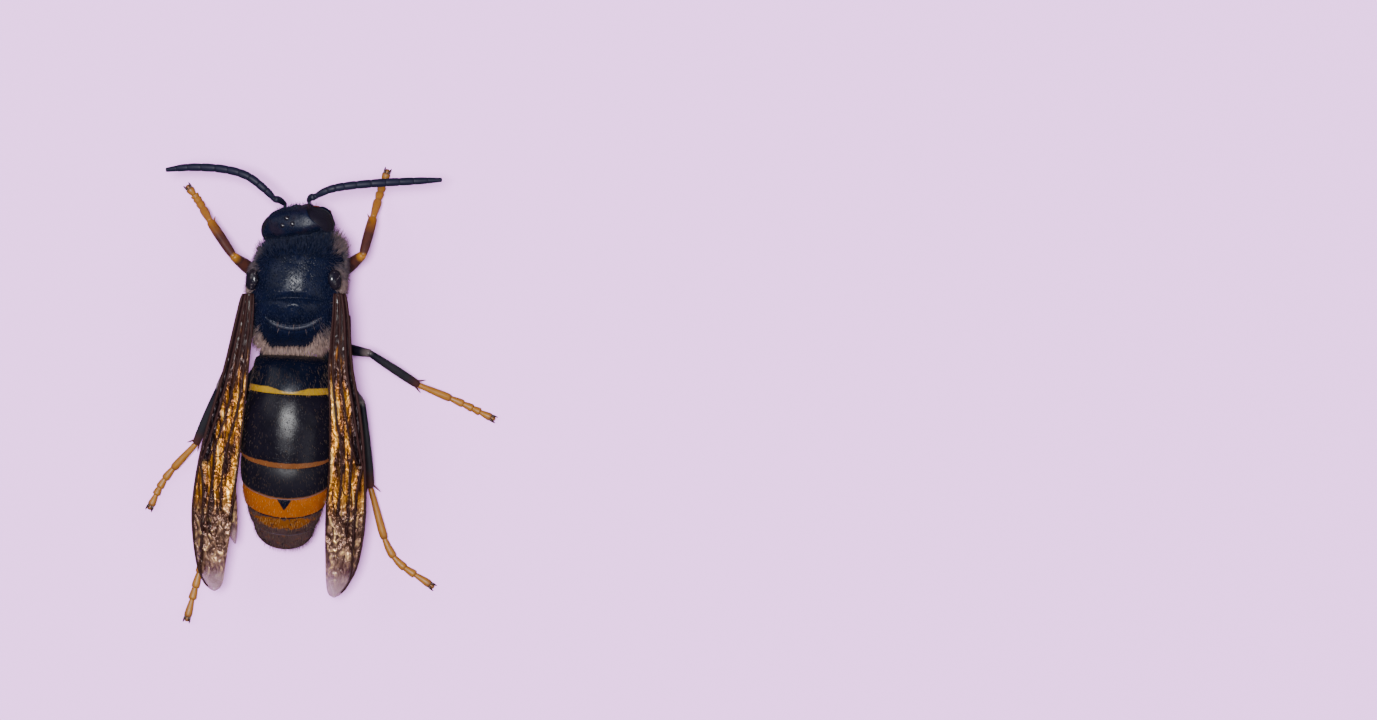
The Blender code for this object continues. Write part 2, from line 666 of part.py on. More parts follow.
def make_legs(frame):
    """Six legs of coxa, femur, tibia and tarsus; each bend is halved by a thin cut."""
    for name, (coxa_tip, knee, ankle, bend, toe) in LEGS.items():
        pair, side_name = name.split("_")
        side = SIDES[side_name]
        hip, facing = hip_point(pair, side)
        coxa_tip, knee, ankle = Vector(coxa_tip), Vector(knee), Vector(ankle)
        start = hip + facing * HIP_CLEARANCE
        elbow = start + facing * COXA_RADII[0]
        normal, short = mitre(elbow, coxa_tip, knee)
        path = even_path((start, elbow, coxa_tip - (coxa_tip - elbow).normalized() * short), COXA_RINGS)
        coxa = loft(tube(path, COXA_RADII, reference=Y_AXIS, planes=(facing, normal)))
        add_part(f"coxa_{name}", coxa, BLACK, 0.4, start, frame)

        knee_normal, knee_short = mitre(coxa_tip, knee, ankle)
        along = (knee - coxa_tip).normalized()
        path = through((coxa_tip + along * short, knee - along * knee_short), 5)
        colour = DARK_BROWN if pair == "front" else BLACK
        femur = loft(tube(path, FEMUR_RADII[pair], planes=(normal, knee_normal)))
        add_part(f"femur_{name}", femur, colour, 0.35, coxa_tip, frame)

        radius = TARSUS_RADIUS[pair]
        plan, _ = foot_path(ankle, bend, toe, radius)
        ankle_plane = mitre(knee, ankle, plan[1])
        along = (ankle - knee).normalized()
        path = through((knee + along * knee_short, ankle - along * ankle_plane[1]), 5)
        tibia = loft(tube(path, TIBIA_RADII[pair], planes=(knee_normal, ankle_plane[0])))
        add_part(f"tibia_{name}", tibia, colour, 0.4, knee, frame)
        make_tarsus(name, ankle_plane, ankle, bend, toe, radius, frame)


def wing_body(rows, columns, row_count, side, cross_veins):
    """A folded wing as a closed plate, its veins raised in its upper face."""
    body = bmesh.new()
    top, bottom = [], []
    start, end = rows[0][0], rows[-1][0]
    for index, y in enumerate(spread(start, end, row_count)):
        outer, inner, height = blend(rows, y)
        share = index / (row_count - 1)
        thick = WING_THICKNESS + (WING_TIP_THICKNESS - WING_THICKNESS) * max(0.0, share * 4 - 3)
        crossing = min(abs(share - vein) for vein in cross_veins) * (row_count - 1) < 0.5
        top_row, bottom_row = [], []
        for position, vein in columns:
            x = outer + (inner - outer) * position
            tilt = (x - (outer + inner) / 2) * -side * WING_ROLL
            crown = 0.10 * math.sin(math.pi * position)
            ridge = VEIN_HEIGHT if vein or (crossing and 0 < position < 1) else 0
            level = height + tilt + crown
            top_row.append(body.verts.new((x, y, level + thick / 2 + ridge)))
            bottom_row.append(body.verts.new((x, y, level - thick / 2)))
        top.append(top_row)
        bottom.append(bottom_row)
    close_plate(body, top, bottom)
    return body


def close_plate(body, top, bottom):
    """Faces of a plate between two grids of points: both sides, split alike, and the rim."""
    for sheet in (top, bottom):
        for near, far in zip(sheet, sheet[1:]):
            for column in range(len(near) - 1):
                body.faces.new((near[column], near[column + 1], far[column + 1]))
                body.faces.new((near[column], far[column + 1], far[column]))
    rim_top = top[0] + [row[-1] for row in top[1:-1]] + top[-1][::-1] + [row[0] for row in top[-2:0:-1]]
    rim_bottom = (bottom[0] + [row[-1] for row in bottom[1:-1]] + bottom[-1][::-1]
                  + [row[0] for row in bottom[-2:0:-1]])
    for index in range(len(rim_top)):
        after = (index + 1) % len(rim_top)
        body.faces.new((rim_top[index], rim_top[after], rim_bottom[after], rim_bottom[index]))
    bmesh.ops.recalc_face_normals(body, faces=body.faces)


def make_wings(frame):
    """Both pairs of wings, the hind ones under the front ones."""
    for name, side in SIDES.items():
        rows = FOREWING[name]
        forewing = wing_body(rows, FOREWING_COLUMNS, FOREWING_ROWS, side, CROSS_VEINS)
        pivot = ((rows[0][1] + rows[0][2]) / 2, rows[0][0], rows[0][3])
        add_part(f"forewing_{name}", forewing, SMOKE, 0.3, pivot, frame)
        rows = HINDWING[name]
        hindwing = wing_body(rows, HINDWING_COLUMNS, HINDWING_ROWS, side, CROSS_VEINS[:2])
        pivot = ((rows[0][1] + rows[0][2]) / 2, rows[0][0], rows[0][3])
        add_part(f"hindwing_{name}", hindwing, SMOKE, 0.3, pivot, frame)


def make_tegulae(frame):
    """The small domed scale in front of each wing's root."""
    for name, side in SIDES.items():
        centre = Vector((TEGULA_MIDDLE + side * TEGULA_OFFSET, TEGULA_STATION, TEGULA_HEIGHT))
        scale = ellipsoid((0, 0, 0), TEGULA_RADII, segments=12, rings=8)
        scale.transform(Matrix.Translation(centre) @ Matrix.Rotation(side * TEGULA_LEAN, 4, "Y"))
        add_part(f"tegula_{name}", scale, DARK_BROWN, 0.35, centre, frame)


def main():
    """Build the whole insect under one empty that stands on the floor."""
    clear_scene()
    frame = bpy.data.objects.new("hornet_frame", None)
    bpy.context.scene.collection.objects.link(frame)
    make_thorax(frame)
    make_gaster(frame)
    make_head(frame)
    make_antennae(frame)
    make_tegulae(frame)
    make_wings(frame)
    make_legs(frame)


main()
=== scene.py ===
"""Dresses the yellow-legged hornet: shell plates, eyes, jaws, feelers, wings, legs and pile, and its studio.

The sizes below are millimetres, and meshes are written in metres. The hornet looks along +Y, its own
left side is at -X, and its feet stand on z = 0.
"""

import math

import bmesh
import bpy
import numpy as np
from bpy.props import FloatProperty, FloatVectorProperty, PointerProperty
from mathutils import Matrix, Vector, noise


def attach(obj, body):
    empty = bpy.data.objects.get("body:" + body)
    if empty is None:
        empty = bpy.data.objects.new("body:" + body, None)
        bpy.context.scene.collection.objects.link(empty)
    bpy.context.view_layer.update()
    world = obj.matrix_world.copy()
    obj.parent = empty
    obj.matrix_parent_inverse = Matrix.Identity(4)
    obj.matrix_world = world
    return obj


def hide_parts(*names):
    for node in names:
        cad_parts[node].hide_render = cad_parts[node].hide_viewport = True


bl_info = {
    "name": "Yellow-legged hornet",
    "version": (1, 0, 0),
    "blender": (4, 5, 0),
    "location": "View3D > Sidebar > Hornet",
    "description": "Dresses the hornet's solids with shell plates, eyes, jaws, feelers, wings, legs and pile",
    "category": "Object",
}

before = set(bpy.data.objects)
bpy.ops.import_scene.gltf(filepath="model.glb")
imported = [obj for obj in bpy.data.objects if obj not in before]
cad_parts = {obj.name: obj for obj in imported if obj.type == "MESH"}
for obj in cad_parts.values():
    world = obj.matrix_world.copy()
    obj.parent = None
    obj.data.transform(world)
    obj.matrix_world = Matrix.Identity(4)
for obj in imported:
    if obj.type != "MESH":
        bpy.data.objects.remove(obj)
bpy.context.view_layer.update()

MM = 0.001
BODY = "root"
SIDES = {"left": -1, "right": 1}
Y_AXIS = Vector((0, 1, 0))
Z_AXIS = Vector((0, 0, 1))

# Thorax: distance along Y, half width, underside, top, middle line, backward sweep of the sides, and how far
# the right side leads for each millimetre across
THORAX = (
    (10.34, 1.25, 3.55, 5.00, -1.30, 0.00, 0.14),
    (10.20, 2.05, 3.05, 5.62, -1.27, 0.04, 0.16),
    (9.92, 2.58, 2.60, 6.12, -1.24, 0.14, 0.17),
    (9.46, 2.92, 2.32, 6.48, -1.26, 0.42, 0.14),
    (8.70, 3.08, 2.15, 6.70, -1.34, 0.82, 0.08),
    (7.60, 3.00, 2.05, 6.85, -1.48, 0.92, 0.02),
    (6.40, 2.95, 2.00, 6.80, -1.51, 0.45, 0.00),
    (5.40, 2.88, 2.02, 6.55, -1.53, 0.10, 0.00),
    (4.60, 2.74, 2.10, 6.10, -1.56, 0.00, 0.00),
    (3.90, 2.50, 2.25, 5.45, -1.60, 0.00, 0.00),
    (3.40, 2.12, 2.42, 4.78, -1.64, 0.00, 0.00),
    (3.08, 1.50, 2.68, 4.22, -1.66, 0.00, 0.00),
)
THORAX_POWER = 2.12
THORAX_ROWS = 150
THORAX_AROUND = 190
COLLAR_SEAM = 8.62
SIDE_SEAM = 4.98
SCUTELLUM_FRONT = 6.43
SCUTELLUM_REAR = 4.62
# How much further forward the scutellum's rear edge lies for each square millimetre off its middle
SCUTELLUM_CURVE = 0.17
# How far the raised rib with its painted grey sheen lies behind that edge
RIDGE_GAP = 0.20
BACK_HALF_WIDTH = 2.1

# Gaster joints: middle along Y, height, middle line, lean of the plane in degrees, half width, rise, drop
GASTER = {
    "waist": (2.75, 3.25, -1.68, 0.0, 0.55, 0.50, 0.50),
    "front_face": (2.58, 3.50, -1.70, 0.0, 2.08, 1.35, 1.15),
    "shoulder": (2.30, 3.74, -1.73, 1.0, 2.42, 1.86, 1.60),
    "front_back": (1.70, 3.92, -1.77, 3.0, 2.48, 2.08, 1.86),
    "first_joint": (0.36, 4.05, -1.84, 6.0, 2.64, 2.20, 2.05),
    "second_joint": (-4.02, 3.70, -2.08, 17.0, 2.97, 2.35, 2.25),
    "third_joint": (-5.97, 3.35, -2.18, 22.0, 2.85, 2.10, 2.02),
    "fourth_joint": (-7.26, 3.00, -2.25, 25.0, 2.56, 1.75, 1.72),
    "fifth_joint": (-8.44, 2.65, -2.30, 30.0, 2.02, 1.32, 1.30),
    "tail": (-9.86, 2.10, -2.36, 30.0, 0.30, 0.22, 0.22),
}
GASTER_POWER = 2.1
GASTER_AROUND = 200
# How far a plate's right side lies behind its middle for each millimetre across
GASTER_YAW = 0.055
# How far the free edge of each plate runs forward at its sides
EDGE_CURVE = (0.0, 0.22, 0.42, 0.30, 0.15, 0.0)
PLATE_COUNT = 6
# How far the last plate reaches ahead under the one before it, and how much narrower it is there
TAIL_TUCK = ((0.28, -0.16), (0.12, -0.12))
# How much each plate bellies out between its ends
PLATE_BELLY = (0.0, 0.20, 0.07, 0.05, 0.03)
# Rings and swellings that fold a plate in at its free edge
FREE_EDGE = ((-0.022, 0.03), (-0.028, 0.0), (-0.012, -0.03), (0.10, -0.05), (0.28, -0.07))

# Head, in its own frame: +Y out of the face, +Z up. Height, half width, front, back
HEAD_CENTRE = Vector((-1.26, 11.30, 4.00))
HEAD_TURN = math.radians(8)
HEAD_TILT = math.radians(-16)
HEAD = (
    (2.50, 0.10, 0.05, -0.06),
    (2.42, 0.72, 0.36, -0.36),
    (2.30, 1.35, 0.66, -0.60),
    (2.02, 1.93, 0.90, -0.78),
    (1.45, 2.40, 1.07, -0.90),
    (0.60, 2.66, 1.15, -0.94),
    (-0.25, 2.60, 1.18, -0.90),
    (-1.00, 2.28, 1.20, -0.80),
    (-1.60, 1.84, 1.16, -0.64),
    (-2.02, 1.36, 1.06, -0.44),
    (-2.20, 0.97, 0.92, -0.25),
    (-2.28, 0.30, 0.62, 0.05),
)
HEAD_POWER = 2.8
HEAD_ROWS = 150
HEAD_AROUND = 200
NAPE_HOLLOW = 0.32
CLYPEUS = (0.0, -1.12, 1.20, 0.98)
EYE_FACING = math.radians(38)
EYE_SEAT = 1.30
EYE_CENTRE = (1.37, -0.13, 0.42)
EYE_RADII = (0.97, 1.10, 1.78)

# Feelers: socket in the head's frame, then elbow and run of the flagellum in the part's frame
SOCKET = {"left": (-0.78, 1.12, 0.10), "right": (0.90, 1.12, 0.10)}
ELBOW = {"left": (-2.80, 12.86, 5.55), "right": (-0.22, 12.98, 5.92)}
FLAGELLUM = {
    "left": ((-3.38, 13.47, 5.86), (-4.60, 14.39, 5.80), (-6.25, 14.85, 5.40), (-8.30, 14.97, 4.90),
             (-9.98, 14.81, 4.50)),
    "right": ((0.72, 13.45, 6.20), (1.95, 13.71, 6.15), (4.00, 13.92, 5.80), (6.04, 14.04, 5.30),
              (8.12, 14.15, 4.85)),
}
FLAGELLUM_RADII = (0.17, 0.23, 0.26, 0.27, 0.27, 0.27, 0.26, 0.23, 0.14)

# Legs: thorax station and angle of the hip, then coxa tip, knee, ankle, the foot's bend and its toe
HIP = {"front": (8.45, -58), "mid": (6.60, -56), "hind": (4.05, -66)}
LEGS = {
    "front_left": (
        (-4.02, 7.90, 1.12), (-5.64, 9.18, 3.20), (-7.23, 11.48, 1.95), (-8.12, 12.88), (-8.72, 13.68)),
    "front_right": (
        (1.20, 8.02, 1.12), (2.87, 9.27, 3.20), (3.48, 11.74, 1.95), (3.92, 13.50), (4.31, 14.69)),
    "mid_left": (
        (-4.25, 5.35, 1.40), (-6.62, 0.45, 2.95), (-8.24, -3.16, 0.95), (-10.26, -5.39), (-11.27, -7.26)),
    "mid_right": (
        (1.05, 3.22, 1.30), (3.36, 2.79, 3.60), (6.42, 0.72, 0.95), (9.10, -0.42), (11.22, -1.45)),
    "hind_left": (
        (-3.80, 2.45, 1.48), (-5.80, -1.50, 3.10), (-6.75, -7.05, 0.95), (-8.10, -11.80), (-8.85, -14.62)),
    "hind_right": (
        (0.42, 2.30, 1.45), (2.82, -0.52, 3.10), (3.27, -6.07, 0.95), (4.62, -10.40), (7.20, -12.50)),
}
COXA_RADII = (0.56, 0.58, 0.52, 0.36)
FEMUR_RADII = {
    "front": (0.27, 0.42, 0.43, 0.36, 0.27), "mid": (0.25, 0.34, 0.35, 0.31, 0.25),
    "hind": (0.26, 0.37, 0.37, 0.32, 0.26)}
TIBIA_RADII = {
    "front": (0.22, 0.29, 0.32, 0.33, 0.29), "mid": (0.21, 0.25, 0.28, 0.30, 0.27),
    "hind": (0.21, 0.25, 0.29, 0.32, 0.29)}
TARSUS_RADIUS = {"front": 0.28, "mid": 0.255, "hind": 0.26}
TOE_SHARES = (0.44, 0.17, 0.13, 0.10, 0.16)
FOOT_DESCENT = 0.20
FOOT_CURVE = 1.6
FOOT_POINTS = 41
CLAW_LENGTH = 0.56
SPUR_LENGTH = {"front": 0.6, "mid": 0.6, "hind": 0.75}

# Wings, folded lengthwise: distance along Y, outer edge, inner edge, height of the middle
FOREWING = {
    "left": (
        (6.70, -4.86, -4.12, 6.18), (5.40, -5.20, -4.12, 6.08), (1.77, -6.10, -4.46, 5.68),
        (-3.14, -7.58, -4.98, 5.15), (-6.42, -8.20, -5.41, 4.65), (-8.46, -8.30, -5.69, 4.30),
        (-11.20, -7.98, -6.13, 3.80), (-12.20, -7.60, -6.30, 3.62), (-12.62, -7.22, -6.52, 3.54),
        (-12.78, -6.92, -6.80, 3.50)),
    "right": (
        (6.70, 1.82, 1.08, 6.18), (5.40, 2.04, 1.02, 6.08), (1.77, 2.28, 0.70, 5.68),
        (-0.85, 2.76, 0.76, 5.46), (-4.36, 3.08, 0.72, 5.10), (-8.07, 3.08, 0.46, 4.40),
        (-11.13, 2.56, 0.44, 3.85), (-12.55, 1.86, 0.50, 3.60), (-13.06, 1.38, 0.66, 3.52),
        (-13.22, 1.06, 0.92, 3.49)),
}
HINDWING = {
    "left": ((5.30, -5.12, -4.66, 4.82), (1.77, -5.95, -5.00, 4.64), (-3.14, -6.95, -5.55, 4.10),
             (-6.42, -6.90, -5.40, 3.64), (-8.60, -6.20, -5.35, 3.30), (-9.70, -5.58, -5.46, 3.10)),
    "right": ((5.30, 2.10, 1.64, 4.82), (1.77, 2.20, 1.25, 4.64), (-3.14, 2.75, 1.35, 4.10),
              (-6.42, 2.35, 0.95, 3.64), (-8.60, 1.60, 0.75, 3.30), (-9.70, 1.04, 0.94, 3.10)),
}
# Thickness of the hairs of each coat at their roots
BACK_HAIR_RADIUS = 0.017
FLANK_HAIR_RADIUS = 0.018
HEAD_HAIR_RADIUS = 0.013
GASTER_HAIR_RADIUS = 0.0085

# The scale in front of each wing's root
TEGULA_MIDDLE = -1.54
TEGULA_OFFSET = 2.68
TEGULA_STATION = 7.60
TEGULA_HEIGHT = 6.42
TEGULA_LEAN = math.radians(40)
# Where tan pile stands in front of and beside those scales
TEGULA_TUFTS = ((-4.30, 8.25), (-4.75, 7.2), (1.30, 8.15), (1.62, 7.2))
WING_ROLL = 0.16
MEMBRANE = 0.07
# Veins of a forewing: radius at both ends, then (place across from the outer edge, place along from the root)
FOREWING_VEINS = (
    (0.11, 0.05, ((0.02, 0.0), (0.02, 0.3), (0.02, 0.6), (0.02, 0.8), (0.03, 0.93), (0.10, 0.985))),
    (0.09, 0.06, ((0.30, 0.0), (0.24, 0.2), (0.21, 0.4), (0.13, 0.52), (0.05, 0.58))),
    (0.05, 0.03, ((0.08, 0.57), (0.24, 0.66), (0.27, 0.78), (0.20, 0.88), (0.04, 0.955))),
    (0.07, 0.04, ((0.52, 0.0), (0.52, 0.2), (0.48, 0.38), (0.36, 0.50), (0.22, 0.56))),
    (0.07, 0.04, ((0.78, 0.0), (0.80, 0.2), (0.78, 0.38), (0.66, 0.50), (0.64, 0.62), (0.70, 0.73))),
    (0.04, 0.03, ((0.34, 0.51), (0.42, 0.60), (0.42, 0.72), (0.46, 0.80))),
    (0.04, 0.03, ((0.66, 0.50), (0.52, 0.545), (0.38, 0.545))),
    (0.04, 0.03, ((0.64, 0.63), (0.54, 0.66), (0.43, 0.655))),
    (0.04, 0.03, ((0.68, 0.72), (0.56, 0.745), (0.44, 0.74))),
    (0.04, 0.03, ((0.26, 0.70), (0.34, 0.715), (0.42, 0.71))),
    (0.06, 0.03, ((0.96, 0.0), (0.97, 0.3), (0.97, 0.6), (0.96, 0.76))),
)
HINDWING_VEINS = (
    (0.06, 0.03, ((0.03, 0.0), (0.03, 0.5), (0.06, 0.92))),
    (0.05, 0.03, ((0.40, 0.0), (0.42, 0.4), (0.35, 0.75))),
    (0.05, 0.03, ((0.75, 0.0), (0.78, 0.4), (0.72, 0.7))),
)


# Numbers


def blend(rows, position):
    """Smooth values at a position between rows of (position, value, value, ...), rows in falling order."""
    position = min(max(position, rows[-1][0]), rows[0][0])
    index = next(i for i in range(len(rows) - 1) if position >= rows[i + 1][0])
    here, there = rows[index], rows[index + 1]
    before = rows[max(index - 1, 0)]
    after = rows[min(index + 2, len(rows) - 1)]
    span = there[0] - here[0]
    share = (position - here[0]) / span
    values = []
    for column in range(1, len(here)):
        slope_here = (there[column] - before[column]) / (there[0] - before[0]) * span
        slope_there = (after[column] - here[column]) / (after[0] - here[0]) * span
        square, cube = share ** 2, share ** 3
        values.append((2 * cube - 3 * square + 1) * here[column] + (cube - 2 * square + share) * slope_here
                      + (3 * square - 2 * cube) * there[column] + (cube - square) * slope_there)
    return values


def through(points, count):
    """Evenly numbered points on a smooth curve through the given ones."""
    rows = [(-index, *point) for index, point in enumerate(points)]
    return [Vector(blend(rows, -position)) for position in np.linspace(0, len(points) - 1, count)]


def ease(value, low, high):
    """0 below low, 1 above high and a smooth rise between them."""
    share = np.clip((value - low) / (high - low), 0, 1)
    return share * share * (3 - 2 * share)


def window(value, low, high, soft=0.12):
    """1 between low and high, fading over a soft margin on both sides."""
    return ease(value, low - soft, low + soft) * (1 - ease(value, high - soft, high + soft))


def hump(distance, width):
    """A bell of height 1."""
    return np.exp(-(distance / width) ** 2)


def oval(count, power):
    """Across and up shares of a superellipse at even angles, from the underside round by the right side."""
    angle = math.tau * (np.arange(count) / count - 0.25)
    across = np.sign(np.cos(angle)) * np.abs(np.cos(angle)) ** (2 / power)
    upward = np.sign(np.sin(angle)) * np.abs(np.sin(angle)) ** (2 / power)
    return across, upward


def rough(points, size, seed):
    """Smooth noise at points, with lumps of a size in millimetres."""
    shift = Vector((seed * 7.3, seed * 3.1, seed * 5.7))
    return np.array([noise.noise(Vector(point) / size + shift) for point in points.reshape(-1, 3)]).reshape(
        points.shape[:-1])


# Meshes


def deselect():
    """Leave nothing selected, because an operator acts on all that is."""
    bpy.ops.object.select_all(action="DESELECT")


def read_out(thing):
    """Points and faces of a scratch object, which is then removed."""
    mesh = thing.data
    points = np.empty(len(mesh.vertices) * 3)
    mesh.vertices.foreach_get("co", points)
    faces = [tuple(face.vertices) for face in mesh.polygons]
    bpy.data.objects.remove(thing, do_unlink=True)
    bpy.data.meshes.remove(mesh)
    return points.reshape(-1, 3), faces


def turned(outline, steps):
    """A closed body spun about Z from its outline of (height, radius)."""
    mesh = bpy.data.meshes.new("outline")
    mesh.from_pydata([(radius, 0, height) for height, radius in outline],
                     [(index, index + 1) for index in range(len(outline) - 1)], [])
    thing = bpy.data.objects.new("outline", mesh)
    bpy.context.scene.collection.objects.link(thing)
    deselect()
    thing.select_set(True)
    bpy.context.view_layer.objects.active = thing
    bpy.ops.object.mode_set(mode="EDIT")
    bpy.ops.mesh.select_all(action="SELECT")
    bpy.ops.mesh.spin(steps=steps, angle=math.tau, center=(0, 0, 0), axis=(0, 0, 1))
    bpy.ops.mesh.select_all(action="SELECT")
    bpy.ops.mesh.remove_doubles(threshold=1e-4)
    bpy.ops.mesh.normals_make_consistent(inside=False)
    bpy.ops.object.mode_set(mode="OBJECT")
    return read_out(thing)


def grid_faces(rows, around):
    """Quads of a grid of rings, and the fans that close its two ends."""
    index = np.arange(rows * around).reshape(rows, around)
    after = np.roll(index, -1, axis=1)
    quads = np.stack((index[:-1], after[:-1], after[1:], index[1:]), axis=-1).reshape(-1, 4)
    first, last = rows * around, rows * around + 1
    front = np.stack((after[0], index[0], np.full(around, first)), axis=-1)
    rear = np.stack((index[-1], after[-1], np.full(around, last)), axis=-1)
    return quads, np.concatenate((front, rear))


def grid_layout(rows, around):
    """UV of every corner of the faces that grid_faces gives."""
    u = np.arange(around) / around
    v = np.linspace(0.004, 0.996, rows)
    step = 1 / around
    quads = np.empty((rows - 1, around, 4, 2))
    for corner, (right, down) in enumerate(((0, 0), (1, 0), (1, 1), (0, 1))):
        quads[:, :, corner, 0] = u[None, :] + right * step
        quads[:, :, corner, 1] = (v[:-1] if down == 0 else v[1:])[:, None]
    fans = np.empty((2, around, 3, 2))
    for end, (corners, row) in enumerate((((1, 0), 0.004), ((0, 1), 0.996))):
        for corner, right in enumerate(corners):
            fans[end, :, corner] = np.stack((u + right * step, np.full(around, row)), axis=-1)
        fans[end, :, 2] = np.stack((u + step / 2, np.full(around, 0.0 if end == 0 else 1.0)), axis=-1)
    return np.concatenate((quads.reshape(-1, 2), fans.reshape(-1, 2)))


class Shape:
    """Points, faces and point values, gathered until they become one mesh."""

    def __init__(self):
        self.points = []
        self.faces = []
        self.values = []
        self.count = 0

    def add(self, points, faces, value=0.0):
        """Add one closed body; value is one number or one for each point."""
        self.points.append(np.asarray(points, dtype=float))
        self.faces.extend(tuple(corner + self.count for corner in face) for face in faces)
        self.values.append(np.broadcast_to(np.asarray(value, dtype=float), (len(points),)))
        self.count += len(points)

    def done(self):
        """All points, faces and values."""
        return np.concatenate(self.points), self.faces, np.concatenate(self.values)


def fill_mesh(mesh, points, face_groups):
    """Write points in millimetres and arrays of faces, each array with its own corner count, to a mesh."""
    mesh.vertices.add(len(points))
    mesh.vertices.foreach_set("co", (points * MM).ravel())
    corners = np.concatenate([group.ravel() for group in face_groups])
    sizes = np.concatenate([np.full(len(group), group.shape[1]) for group in face_groups])
    mesh.loops.add(len(corners))
    mesh.loops.foreach_set("vertex_index", corners)
    mesh.polygons.add(len(sizes))
    mesh.polygons.foreach_set("loop_start", np.concatenate(([0], np.cumsum(sizes)[:-1])))
    mesh.update(calc_edges=True)
    mesh.validate()


def write_value(mesh, name, values):
    """A named number on every point."""
    layer = mesh.attributes.new(name, "FLOAT", "POINT")
    layer.data.foreach_set("value", np.ascontiguousarray(values, dtype=np.float32).ravel())


def face_outwards(mesh):
    """Turn every closed body of a mesh the right way out."""
    body = bmesh.new()
    body.from_mesh(mesh)
    bmesh.ops.recalc_face_normals(body, faces=body.faces)
    body.to_mesh(mesh)
    body.free()


def settle(piece, nodes=(), materials=()):
    """Give a finished piece its materials and its place in the frame."""
    for material in materials:
        piece.data.materials.append(material)
    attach(piece, BODY)
    if nodes:
        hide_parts(*nodes)
    return piece


def add_object(name, mesh):
    """A new object at the origin."""
    piece = bpy.data.objects.new(name, mesh)
    bpy.context.scene.collection.objects.link(piece)
    return piece


def add_grid(name, grid, values=None):
    """A closed piece from a grid of rings, with its own unwrap."""
    rows, around, _ = grid.shape
    points = np.concatenate((grid.reshape(-1, 3), grid[:1].mean(axis=1), grid[-1:].mean(axis=1)))
    mesh = bpy.data.meshes.new(name)
    quads, fans = grid_faces(rows, around)
    fill_mesh(mesh, points, (quads, fans))
    layer = mesh.uv_layers.new(name="lay")
    layer.data.foreach_set("uv", grid_layout(rows, around).astype(np.float32).ravel())
    for key, table in (values or {}).items():
        ends = [table[0].mean(), table[-1].mean()]
        write_value(mesh, key, np.concatenate((table.ravel(), ends)))
    face_outwards(mesh)
    mesh.shade_smooth()
    return add_object(name, mesh)


def add_shape(name, shape, key="along", angle=40):
    """A piece from gathered bodies."""
    points, faces, values = shape.done()
    mesh = bpy.data.meshes.new(name)
    mesh.from_pydata((points * MM).tolist(), [], faces)
    write_value(mesh, key, values)
    face_outwards(mesh)
    mesh.shade_smooth()
    mesh.set_sharp_from_angle(angle=math.radians(angle))
    return add_object(name, mesh)


def path_frames(path):
    """Directions along, across and up at each point of a path, without twist."""
    along = []
    for index in range(len(path)):
        before, after = path[max(index - 1, 0)], path[min(index + 1, len(path) - 1)]
        along.append((after - before).normalized())
    reference = Z_AXIS if abs(along[0].z) < 0.9 else Y_AXIS
    across = along[0].cross(reference).normalized()
    frames = []
    for direction in along:
        across = (across - direction * across.dot(direction)).normalized()
        frames.append((direction, across, across.cross(direction)))
    return frames


def carry(template, path, radii, flat=1.0):
    """Points of a turned body of unit height, laid along a path with a radius that changes along it."""
    points = template[0]
    frames = path_frames(path)
    rows = [(-index, radius) for index, radius in enumerate(radii)]
    laid = np.empty_like(points)
    top = len(path) - 1
    for number, (x, y, z) in enumerate(points):
        place = min(max(z, 0.0), 1.0) * top
        index = min(int(place), top - 1)
        share = place - index
        centre = path[index].lerp(path[index + 1], share)
        direction = frames[index][0].lerp(frames[index + 1][0], share)
        across = frames[index][1].lerp(frames[index + 1][1], share)
        up = frames[index][2].lerp(frames[index + 1][2], share)
        radius = blend(rows, -min(max(z, 0.0), 1.0) * (len(radii) - 1))[0]
        centre = centre + direction * ((z - min(max(z, 0.0), 1.0)) * (path[-1] - path[0]).length)
        laid[number] = centre + across * (x * radius) + up * (y * radius * flat)
    return laid


def limb_outline(rings, rounding=0.06):
    """Outline of a limb of unit height and radius with rounded ends."""
    outline = [(0.0, 0.0)]
    for share in (0.30, 0.62, 0.86):
        outline.append((rounding * (1 - math.sqrt(1 - share ** 2)), share))
    outline += [(height, 1.0) for height in np.linspace(rounding, 1 - rounding, rings)]
    for share in (0.86, 0.62, 0.30):
        outline.append((1 - rounding * (1 - math.sqrt(1 - share ** 2)), share))
    outline.append((1.0, 0.0))
    return outline


# Materials


def node(tree, kind, inputs=None, **settings):
    """One shader node with its settings and inputs; an input is a value or another node's socket."""
    made = tree.nodes.new("ShaderNode" + kind)
    for key, value in settings.items():
        setattr(made, key, value)
    for key, value in (inputs or {}).items():
        if isinstance(value, bpy.types.NodeSocket):
            tree.links.new(value, made.inputs[key])
        else:
            made.inputs[key].default_value = value
    return made


def millimetres(tree):
    """The piece's own place in millimetres."""
    place = node(tree, "TexCoord").outputs["Object"]
    return node(tree, "VectorMath", {0: place, "Scale": 1000.0}, operation="SCALE").outputs["Vector"]


def maths(tree, operation, first, second=0.0, third=0.0, clamp=False):
    """One sum in the shader."""
    inputs = {0: first, 1: second, 2: third}
    return node(tree, "Math", inputs, operation=operation, use_clamp=clamp).outputs[0]


def times(tree, first, second):
    """A product in the shader."""
    return maths(tree, "MULTIPLY", first, second)


def plus(tree, first, second, clamp=False):
    """A sum in the shader, kept between 0 and 1 where asked."""
    return maths(tree, "ADD", first, second, clamp=clamp)


def scaled(tree, value, span, low):
    """A value between 0 and 1 spread over a span above its low end."""
    return maths(tree, "MULTIPLY_ADD", value, span, low)


def shade(colour, share):
    """A colour made darker or lighter by a share."""
    return [channel * share for channel in colour]


def value_of(tree, name):
    """A number that was written on the piece's points."""
    return node(tree, "Attribute", attribute_name=name).outputs["Fac"]


